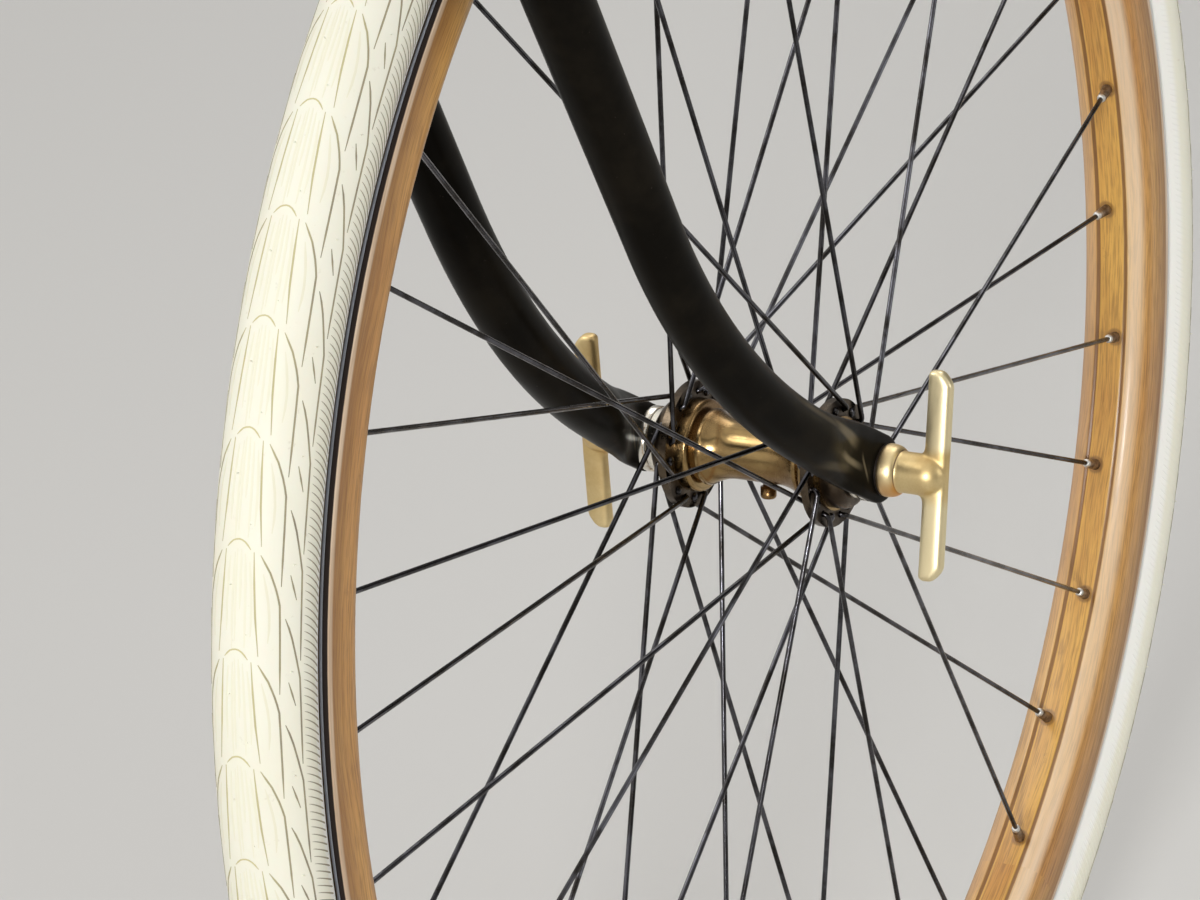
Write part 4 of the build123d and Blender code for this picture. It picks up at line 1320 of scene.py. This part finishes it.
@dataclass
class Lacing:
    """Spokes laced in four groups of nine, with their heads, elbows and nipples."""

    count: int = 36
    radius: float = 0.95
    head_radius: float = 1.75
    head_length: float = 1.1
    head_shape: tuple = ((0.15, 0.62), (0.0, 0.95), (-0.3, 1.0), (-0.75, 0.78), (-1.0, 0.35))
    elbow_radius: float = 2.2
    elbow_steps: int = 6
    room_outer: float = 1.1
    room_inner: float = 0.3
    cad_radius: float = 1.0
    cross: float = 60.0
    first_angle: float = 4.35
    hole_circle: float = 19.3
    flange_place: float = 28.4
    flange_thickness: float = 3.0
    rim_inner: float = 294.5
    seat_gap: float = 0.3
    stagger: float = 2.0
    nipple_length: float = 8.0
    nipple_grip: float = 3.5
    nipple_shape: tuple = ((8.0, 1.15), (7.8, 1.5), (7.2, 1.72), (3.2, 1.95), (1.6, 2.1), (0.5, 2.2),
                           (-0.2, 2.2))
    sides: int = 12
    groups: tuple[SpokeGroup, ...] = (
        SpokeGroup("right_outer", Side.RIGHT, first=0, lean=-1, face=1),
        SpokeGroup("right_inner", Side.RIGHT, first=2, lean=1, face=-1),
        SpokeGroup("left_outer", Side.LEFT, first=1, lean=-1, face=1),
        SpokeGroup("left_inner", Side.LEFT, first=3, lean=1, face=-1),
    )

    def route(self, axle: Axle, group: SpokeGroup) -> Route:
        """Head, elbow and rim seat of a group's first spoke, in metres."""
        side = group.side.value
        rim_angle = self.first_angle - group.first * 360 / self.count
        hole_angle = rim_angle + group.lean * self.cross
        room = self.room_outer if group.face > 0 else self.room_inner
        head = self.flange_place - group.face * self.flange_thickness / 2
        elbow = self.flange_place + group.face * (self.flange_thickness / 2 + self.cad_radius + room)
        return (
            axle.point(self.hole_circle, hole_angle, side * head),
            axle.point(self.hole_circle, hole_angle, side * elbow),
            axle.point(self.rim_inner - self.seat_gap, rim_angle, side * self.stagger),
        )

    def wire_path(self, route: Route) -> list[Vector]:
        """Points of a spoke's centre line, with its elbow rounded."""
        base, elbow, seat = route
        pull = (seat - elbow).normalized()
        out = (elbow - base).normalized()
        tip = seat - pull * (self.nipple_length - self.nipple_grip) * MM
        bend = math.acos(max(-1.0, min(1.0, out.dot(pull))))
        start = elbow - out * (self.elbow_radius * MM * math.tan(bend / 2))
        inward = (pull - out * out.dot(pull)).normalized()
        centre = start + inward * self.elbow_radius * MM
        points = [base]
        for step in range(self.elbow_steps + 1):
            turn = bend * step / self.elbow_steps
            points.append(centre - inward * math.cos(turn) * self.elbow_radius * MM
                          + out * math.sin(turn) * self.elbow_radius * MM)
        return points + [points[-1] + (tip - points[-1]) * 0.5, tip]

    def tube(self, work: BMesh, path: Sequence[Vector], radii: Iterable[float]) -> None:
        """Adds a round tube along a path, with a radius at each point."""
        rings = []
        aside = (path[1] - path[0]).orthogonal().normalized()
        for index, (point, radius) in enumerate(zip(path, radii)):
            along = heading(path, index)
            aside = (aside - along * aside.dot(along)).normalized()
            rings.append(hoop(point, aside, along.cross(aside), radius, self.sides))
        add_rings(work, rings)

    def spoke(self, route: Route) -> Solid:
        """Makes one spoke with a domed head."""
        work = bmesh.new()
        path = self.wire_path(route)
        self.tube(work, path, [self.radius] * len(path))
        out = (path[1] - path[0]).normalized()
        head = [path[0] + out * place * self.head_length * MM for place, _ in self.head_shape]
        self.tube(work, head, [self.head_radius * share for _, share in self.head_shape])
        return finish_mesh("spoke", work, 40.0)

    def nipple_pair(self, axle: Axle, side: Side) -> Solid:
        """Makes the first nipple of both groups of a side, with shank and shoulder."""
        work = bmesh.new()
        for group in self.groups:
            if group.side is side:
                _, elbow, seat = self.route(axle, group)
                pull = (seat - elbow).normalized()
                points = [seat - pull * place * MM for place, _ in self.nipple_shape]
                self.tube(work, points, [radius for _, radius in self.nipple_shape])
        return finish_mesh("nipple_pair", work, 40.0)

    def build(self, axle: Axle, dresser: Dresser, black: Material, dull: Material) -> None:
        """Builds and dresses the spokes and nipples."""
        ring = RingArray()
        step = -4 * 360 / self.count
        copies = self.count // 4
        for group in self.groups:
            name = "spokes_" + group.name
            spoke = self.spoke(self.route(axle, group))
            piece = ring.build(spoke, name + "_wire", copies, step, axle, black)
            dresser.dress(piece, Body.WHEEL, black, [name])
        for side in Side:
            name = "nipples_" + side.word
            piece = ring.build(self.nipple_pair(axle, side), name + "_turned", copies, step, axle, dull)
            dresser.dress(piece, Body.WHEEL, dull, [name])


@dataclass
class Hub:
    """Brass barrel with its flares and cups, bearing caps, cones, lock nuts and oil cap."""

    barrel_radius: float = 10.4
    barrel_end: float = 7.0
    flare_start: float = 8.0
    flare_end: float = 18.9
    flare_radius: float = 13.8
    flare_power: float = 2.1
    flare_steps: int = 10
    lip_in: float = 19.2
    lip_out: float = 19.95
    lip_swell: float = 0.05
    lip_corner: float = 0.25
    groove_in: float = 20.2
    groove_radius: float = 12.6
    cup_in: float = 22.0
    cup_out: float = 30.9
    cup_radius: float = 16.8
    cup_bore: float = 7.3
    shoulder: float = 1.6
    bore: float = 6.0
    bore_depth: float = 12.0
    cap_radius: float = 15.8
    cap_nose: float = 12.2
    cap_wall: float = 3.0
    cap_end: float = 37.9
    washer_in: float = 48.9
    washer_out: float = 49.7
    washer_radius: float = 9.3
    washer_bore: float = 4.5
    segments: int = 96

    def barrel_outline(self) -> Outline:
        """Closed section of the barrel, from its middle to both ends."""
        half = [(self.barrel_radius, 0.0), (self.barrel_radius, self.barrel_end)]
        for step in range(1, self.flare_steps + 1):
            share = step / self.flare_steps
            rise = (self.flare_radius - self.barrel_radius) * share ** self.flare_power
            run = (self.flare_end - self.flare_start) * share
            half.append((self.barrel_radius + rise, self.flare_start + run))
        half += [
            (self.flare_radius, self.lip_in),
            (self.flare_radius + self.lip_swell, self.lip_out),
            (self.flare_radius - self.lip_corner, self.groove_in),
            (self.groove_radius, self.groove_in),
            (self.groove_radius, self.cup_in),
        ]
        half += arc((self.cup_radius - self.shoulder, self.cup_in + self.shoulder), self.shoulder, -90, 0, 8)
        half += [
            (self.cup_radius, self.cup_out),
            (self.cup_bore, self.cup_out),
            (self.cup_bore, self.cup_out - self.bore_depth),
            (self.bore, self.cup_out - self.bore_depth),
        ]
        return half + sided(reversed(half[1:]), Side.RIGHT)

    def cap_outline(self) -> Outline:
        """Closed section of a dust cap."""
        low = self.cup_out + self.cap_wall
        face = dome((self.cap_nose, low), (self.cap_radius - self.cap_nose, self.cap_end - low), 10)
        return [(self.cup_bore, self.cup_out), (self.cap_radius, self.cup_out), *face,
                (self.cup_bore, self.cap_end)]

    def washer_outline(self) -> Outline:
        """Closed section of a washer under a wing nut."""
        return [(self.washer_bore, self.washer_in), (self.washer_radius, self.washer_in),
                (self.washer_radius, self.washer_out), (self.washer_bore, self.washer_out)]

    def build(self, axle: Axle, dresser: Dresser, finishes: dict[str, Material]) -> None:
        """Builds and dresses the hub."""
        barrel = axle.lathe("barrel", self.barrel_outline(), self.segments)
        dresser.dress(barrel, Body.WHEEL, finishes["brass"], ["hub_barrel"])
        dresser.copy("oil_cap", Body.WHEEL, "brass", finishes["brass"], 40.0)
        for side in Side:
            dresser.copy("hub_flange_" + side.word, Body.WHEEL, "dark_nickel", finishes["bronze"])
            name = "dust_cap_" + side.word
            cap = axle.lathe(name + "_turned", sided(self.cap_outline(), side), self.segments)
            dresser.dress(cap, Body.WHEEL, finishes["bronze"], [name])
            for part in ("cone_", "lock_nut_"):
                dresser.copy(part + side.word, Body.FORK, "nickel", finishes["nickel"])
            name = "washer_" + side.word
            washer = axle.lathe(name + "_turned", sided(self.washer_outline(), side), self.segments)
            dresser.dress(washer, Body.FORK, finishes["dark_steel"], [name])
        dresser.copy("axle", Body.FORK, "bright_steel", finishes["bright_steel"])


@dataclass
class WingNuts:
    """Cast brass wing nuts: a domed collar, a neck with a ball end and an oval bar, softened as cast."""

    inner: float = 49.1
    collar_radius: float = 9.6
    collar_round: float = 1.2
    seam: float = 55.5
    seam_radius: float = 7.5
    seam_gap: float = 0.2
    neck_radius: float = 7.4
    ball_place: float = 65.5
    bore: float = 4.5
    bore_end: float = 62.2
    segments: int = 72
    bar_place: float = 68.9
    bar_length: float = 75.0
    bar_thick: float = 3.0
    bar_wide: float = 4.6
    bar_square: float = 2.7
    bar_steps: int = 60
    bevel_length: float = 5.4
    bevel_depth: float = 4.0
    bevel_power: float = 1.5
    end_round: float = 1.9
    outer_share: float = 0.3
    fillet: float = 3.4
    fillet_overlap: float = 0.8
    leans: tuple = ((Side.RIGHT, 17.8), (Side.LEFT, 3.0))
    voxel: float = 0.36
    rounds: int = 20
    sides: int = 40

    def turned(self, axle: Axle, side: Side) -> Solid:
        """Makes the collar, the neck and its ball end."""
        low = self.inner + self.collar_round
        outline = arc((self.collar_radius - self.collar_round, low), self.collar_round, -90, 0, 6)
        reach = self.seam - self.inner - self.collar_round
        outline += dome((self.seam_radius, low), (self.collar_radius - self.seam_radius, reach), 10)[1:]
        outline.append((self.neck_radius, self.seam + self.seam_gap))
        outline += arc((0.0, self.ball_place), self.neck_radius, 0, 90, 14)
        outline += [(0.0, self.bore_end), (self.bore, self.bore_end), (self.bore, self.inner)]
        return axle.lathe("nut_body", sided(outline, side), self.segments, 60.0)

    def bar_section(self, place: float) -> tuple[float, float, float]:
        """Half thickness, half width and outward shift of the bar's section at a place along it."""
        left = self.bar_length / 2 - abs(place)
        lost = 1 - math.sqrt(max(0.0, 1 - max(0.0, 1 - left / self.end_round) ** 2))
        bevel = max(0.0, 1 - left / self.bevel_length) ** self.bevel_power
        inside = self.bar_wide - self.end_round * lost
        outside = self.bar_wide - self.bevel_depth * bevel - self.end_round * self.outer_share * lost
        near = max(0.0, 1 - max(0.0, abs(place) - self.neck_radius + self.fillet_overlap) / self.fillet)
        inside += self.fillet * (1 - math.sqrt(max(0.0, 1 - near ** 2)))
        return self.bar_thick - self.end_round * lost, (outside + inside) / 2, (outside - inside) / 2

    def bar(self, axle: Axle, side: Side, lean: float) -> Solid:
        """Makes the oval bar, its ends rounded on the wheel's side and bevelled outside."""
        tilt = math.radians(90 - lean)
        along = Vector((math.cos(tilt), 0, math.sin(tilt)))
        ahead = Vector((math.sin(tilt), 0, -math.cos(tilt)))
        outward = Vector((0, side.value, 0))
        centre = axle.hub + outward * self.bar_place * MM
        steps = [self.bar_length / 2 * math.sin(turn) for turn in quarter(self.bar_steps)[1:]]
        rings = []
        for place in [-step for step in reversed(steps)] + [0.0] + steps:
            thick, wide, shift = self.bar_section(place)
            rounds = [squared(turn, self.bar_square) for turn in circle(self.sides)]
            rings.append([
                centre + (along * place + outward * (out * wide + shift) + ahead * (fore * thick)) * MM
                for out, fore in rounds
            ])
        return skinned("nut_bar", rings, 60.0)

    def build(self, axle: Axle, dresser: Dresser, brass: Material) -> None:
        """Builds and dresses both nuts."""
        for side, lean in self.leans:
            name = "wing_nut_" + side.word
            rough = rejoined((self.turned(axle, side), self.bar(axle, side, lean)), name + "_rough", 60.0)
            cast = softened(rough, name + "_cast", self.voxel, self.rounds)
            dresser.dress(cast, Body.FORK, brass, [name])


@dataclass(frozen=True)
class BladePath:
    """Centre line of the right blade, in millimetres: a leg from the axle, a bend and a straight top."""

    up: Vector
    lean: Vector
    left: Vector
    leg: Vector
    flat: Vector
    centre: Vector
    end: Vector
    turn: float
    leg_length: float
    bend_top: float
    bend_start: float


@dataclass
class Blades:
    """Raked blades: round tubes that are pressed flat towards the slotted ends."""

    head_angle: float = 67.0
    top_drop: float = 18.0
    parallel: float = 70.0
    half_spacing: float = 38.5
    end_place: float = 46.7
    top_radius: float = 11.5
    radius: float = 10.4
    bend_radius: float = 285.0
    bend_angle: float = 31.0
    offset: float = 0.4
    flatten_start: float = 56.0
    flatten_end: float = 12.0
    level_start: float = 28.0
    level_end: float = 10.0
    end_thickness: float = 4.4
    end_radius: float = 12.2
    end_square: float = 2.2
    slot_half: float = 4.3
    slot_steps: int = 16
    hollow_place: float = 29.0
    hollow_depth: float = 1.2
    hollow_length: float = 15.0
    hollow_width: float = 7.2
    hollow_edge: float = 1.4
    tip_shares: tuple = (0.9995, 0.985, 0.95, 0.87, 0.75, 0.6, 0.4, 0.2)
    end_step: float = 1.6
    end_steps: int = 41
    upper_steps: int = 64
    sides: int = 56

    def path(self, axle: Axle) -> BladePath:
        """Works out the right blade's centre line."""
        head = math.radians(self.head_angle)
        turn = math.radians(self.bend_angle)
        up = Vector((-math.cos(head), 0, math.sin(head)))
        fore = Vector((math.sin(head), 0, math.cos(head)))
        left = Vector((0, 1, 0))
        hub = axle.hub / MM
        rake = hub.dot(fore)
        spread = (self.end_place - self.half_spacing) / rake
        corner = -hub.dot(up) - (rake + self.offset / math.cos(turn)) / math.tan(turn)
        bend_start = corner - self.bend_radius * math.tan(turn / 2)
        lean = (fore - left * spread).normalized()
        centre = up * -bend_start - left * self.half_spacing + lean * self.bend_radius
        leg = (up * -math.cos(turn) + lean * math.sin(turn)).normalized()
        foot = centre - lean * self.bend_radius * math.cos(turn) - up * self.bend_radius * math.sin(turn)
        end = hub - left * self.end_place
        leg_length = (end - foot).dot(leg)
        return BladePath(up=up, lean=lean, left=left, leg=leg, flat=Vector((leg.x, 0, leg.z)).normalized(),
                         centre=centre, end=end, turn=turn, leg_length=leg_length,
                         bend_top=leg_length + turn * self.bend_radius, bend_start=bend_start)

    def station(self, path: BladePath, distance: float) -> tuple[Vector, Vector, Vector]:
        """Middle, sideways direction and height direction of the section a distance before the axle."""
        if distance < path.leg_length:
            middle = path.end - path.leg * distance
            along = path.leg
        else:
            angle = path.turn - (distance - path.leg_length) / self.bend_radius
            past = max(0.0, -angle) * self.bend_radius
            angle = max(0.0, angle)
            out = path.lean * math.cos(angle) + path.up * math.sin(angle)
            middle = path.centre - out * self.bend_radius + path.up * past
            along = path.lean * math.sin(angle) - path.up * math.cos(angle)
        aside = along.cross(path.lean).normalized()
        if aside.dot(path.left) < 0:
            aside = -aside
        share = 1 - smooth_step(self.level_end, self.level_start, distance)
        middle = middle.lerp(path.end - path.flat * distance, share)
        aside = aside.lerp(path.left, share).normalized()
        ahead = along.lerp(path.flat, share).normalized()
        return middle, aside, aside.cross(ahead).normalized()

    def size(self, path: BladePath, distance: float) -> tuple[float, float, float]:
        """Half thickness, half height and squareness of the section a distance before the axle."""
        if distance > path.bend_top:
            share = (distance - path.bend_top) / (path.bend_start - self.top_drop - self.parallel)
            radius = self.radius + (self.top_radius - self.radius) * min(1.0, share)
            return radius, radius, 2.0
        ease = 1 - smooth_step(self.flatten_end, self.flatten_start, distance)
        thick = self.radius + (self.end_thickness / 2 - self.radius) * ease
        high = self.radius + (self.end_radius - self.radius) * ease
        if distance < 0:
            high = math.sqrt(max(0.0, self.end_radius ** 2 - distance ** 2))
        return thick, high, 2.0 + self.end_square * ease ** 2

    @staticmethod
    def placed(point: Vector, side: Side) -> Vector:
        """Point of either blade in metres, from a point of the right one in millimetres."""
        return Vector((point.x, -side.value * point.y, point.z)) * MM

    def section(self, path: BladePath, distance: float, side: Side) -> list[Vector]:
        """Ring of points of one section, in metres, with the shallow hollow on the blade's outer side."""
        middle, aside, tall = self.station(path, distance)
        thick, high, square = self.size(path, distance)
        points = []
        for turn in circle(self.sides):
            across, height = squared(turn, square)
            across *= thick
            height *= high
            if across < 0:
                reach = ((distance - self.hollow_place) / self.hollow_length) ** 2
                reach += (height / self.hollow_width) ** 2
                across += self.hollow_depth * math.exp(-reach) * min(1.0, -across / thick * self.hollow_edge)
            points.append(self.placed(middle + aside * across + tall * height, side))
        return points

    def blade(self, axle: Axle, side: Side) -> Solid:
        """Makes one blade, its slot cut."""
        path = self.path(axle)
        begin = self.end_step * self.end_steps
        rest = path.bend_top + path.bend_start - self.top_drop - begin
        stations = [-self.end_radius * share for share in self.tip_shares]
        stations += [self.end_step * step for step in range(self.end_steps)]
        stations += [begin + step * rest / self.upper_steps for step in range(1, self.upper_steps + 1)]
        body = skinned("blade_body", [self.section(path, distance, side) for distance in stations], 60.0)
        slot = self.cutter(path, side)
        cut = body.modifiers.new("slot", "BOOLEAN")
        cut.operation = "DIFFERENCE"
        cut.solver = "EXACT"
        cut.object = slot
        name = "blade_" + side.word + "_pressed"
        made = evaluated(body, "slotted")
        bpy.data.objects.remove(slot)
        return rejoined((made,), name, 42.0)

    def cutter(self, path: BladePath, side: Side) -> Solid:
        """Makes the tool that cuts the slot for the axle."""
        ahead = path.flat
        tall = path.left.cross(ahead).normalized()
        turns = [math.pi / 2 + math.pi * step / self.slot_steps for step in range(self.slot_steps + 1)]
        outline = [ahead * math.cos(turn) * self.slot_half + tall * math.sin(turn) * self.slot_half
                   for turn in turns]
        outline += [ahead * 2 * self.end_radius + tall * self.slot_half * sign for sign in (-1, 1)]
        rings = [[self.placed(path.end + point + path.left * shift, side) for point in outline]
                 for shift in (-2 * self.end_thickness, 2 * self.end_thickness)]
        return skinned("slot_tool", rings, 60.0)

    def build(self, axle: Axle, dresser: Dresser, enamel: Material) -> None:
        """Builds and dresses both blades."""
        for side in Side:
            dresser.dress(self.blade(axle, side), Body.FORK, enamel, ["blade_" + side.word])


@dataclass
class Head:
    """Enamelled crown, with the bright race and the threaded steerer."""

    voxel: float = 0.9
    rounds: int = 6
    lean: float = 23.0
    tube_radius: float = 12.7
    seat_radius: float = 13.3
    seat_rise: float = 0.35
    bore: float = 11.1
    length: float = 165.0
    bottom: float = -25.0
    thread_length: float = 42.0
    thread_pitch: float = 1.06
    thread_depth: float = 0.35
    end_bevel: float = 0.6
    segments: int = 64

    def steerer(self) -> Solid:
        """Makes the steerer, with ridges for its thread, in line with the head."""
        thread_start = self.length - self.thread_length
        profile = [(self.bore, self.bottom), (self.seat_radius, self.bottom), (self.seat_radius, 0.0),
                   (self.tube_radius, self.seat_rise), (self.tube_radius, thread_start)]
        for ridge in range(int(self.thread_length / self.thread_pitch) - 1):
            height = thread_start + (ridge + 0.5) * self.thread_pitch
            profile.append((self.tube_radius - self.thread_depth, height))
            profile.append((self.tube_radius, height + self.thread_pitch / 2))
        profile += [(self.tube_radius - self.end_bevel, self.length), (self.bore, self.length)]
        tilt = Matrix.Rotation(-math.radians(self.lean), 3, "Y")
        rings = [[tilt @ Vector((radius * math.cos(turn), radius * math.sin(turn), height)) * MM
                  for radius, height in profile] for turn in circle(self.segments)]
        return skinned("steerer_threaded", rings, 28.0, loop=True)

    def build(self, dresser: Dresser, enamel: Material, steel: Material) -> None:
        """Builds and dresses the crown, race and steerer."""
        rough = merged_copy(dresser.nodes["fork_crown"], "crown_rough")
        crown = softened(rough, "crown_soft", self.voxel, self.rounds)
        dresser.dress(crown, Body.FORK, enamel, ["fork_crown"])
        dresser.copy("crown_race", Body.FORK, "bright_steel", steel)
        dresser.dress(self.steerer(), Body.FORK, steel, ["steerer_tube"])


@dataclass
class Valve:
    """Valve stem, cap and nut at the bottom of the rim."""

    parts: tuple[str, ...] = ("valve_stem", "valve_nut")

    def build(self, dresser: Dresser, nickel: Material) -> None:
        """Builds and dresses the valve."""
        for name in self.parts:
            dresser.copy(name, Body.WHEEL, "nickel", nickel)


def finishes(axle: Axle) -> dict[str, Material]:
    """Makes the shared metal finishes, by their short names."""
    chosen = {
        "brass": MetalFinish("aged_brass", (0.46, 0.325, 0.14), (0.19, 0.11, 0.045), 0.15, 0.28, blotch=30.0,
                             share=0.47, softness=0.22, grain=2600.0, relief=0.002, dust=0.05),
        "nut": MetalFinish("cast_brass", (0.82, 0.655, 0.345), (0.53, 0.345, 0.12), 0.41, 0.48, blotch=26.0,
                           share=0.56, softness=0.22, grain=1500.0, relief=0.004, dust=0.04, seam=55.6,
                           seam_width=0.08, foot=49.6, arm_radius=7.0),
        "bronze": MetalFinish("tarnished_nickel", (0.115, 0.088, 0.060), (0.045, 0.032, 0.022), 0.22, 0.40,
                              blotch=80.0, softness=0.16, dust=0.08),
        "nickel": MetalFinish("nickel_plate", (0.80, 0.765, 0.68), (0.42, 0.37, 0.29), 0.16, 0.34,
                              blotch=160.0, share=0.64, softness=0.1),
        "bright_steel": MetalFinish("ground_steel", (0.56, 0.55, 0.53), (0.44, 0.42, 0.39), 0.26, 0.34,
                                    blotch=18.0, softness=0.35),
        "dark_steel": MetalFinish("dark_steel", (0.10, 0.09, 0.08), (0.05, 0.035, 0.025), 0.36, 0.55,
                                  blotch=200.0),
        "spoke": MetalFinish("blacked_spoke", (0.115, 0.115, 0.13), (0.03, 0.027, 0.025), 0.14, 0.26,
                             blotch=75.0, softness=0.14, grain=2600.0),
        "nipple": MetalFinish("nipple_plate", (0.40, 0.33, 0.26), (0.13, 0.09, 0.06), 0.34, 0.55,
                              blotch=340.0, tip_radius=287.7, tip_colour=(0.62, 0.60, 0.56)),
    }
    return {name: finish.build(axle.hub) for name, finish in chosen.items()}


def main() -> None:
    """Builds the studio and every piece in order."""
    logging.basicConfig(level=logging.INFO, format="%(name)s: %(message)s")
    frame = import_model()
    axle = Axle(Vector(frame["joints"][0]["pos_m"]))
    right, up, back = PhotoCamera().build(axle)
    Studio().build(axle, right, up, back)
    dresser = Dresser(frame["nodes"])
    metals = finishes(axle)
    enamel = EnamelFinish().build(axle.hub)
    Tyre().build(axle, dresser)
    WoodRim().build(axle, dresser)
    Lacing().build(axle, dresser, metals["spoke"], metals["nipple"])
    Hub().build(axle, dresser, metals)
    WingNuts().build(axle, dresser, metals["nut"])
    Blades().build(axle, dresser, enamel)
    Head().build(dresser, enamel, metals["bright_steel"])
    Valve().build(dresser, metals["nickel"])
    bpy.context.scene.view_settings.view_transform = "Standard"


if __name__ == "__main__":
    main()
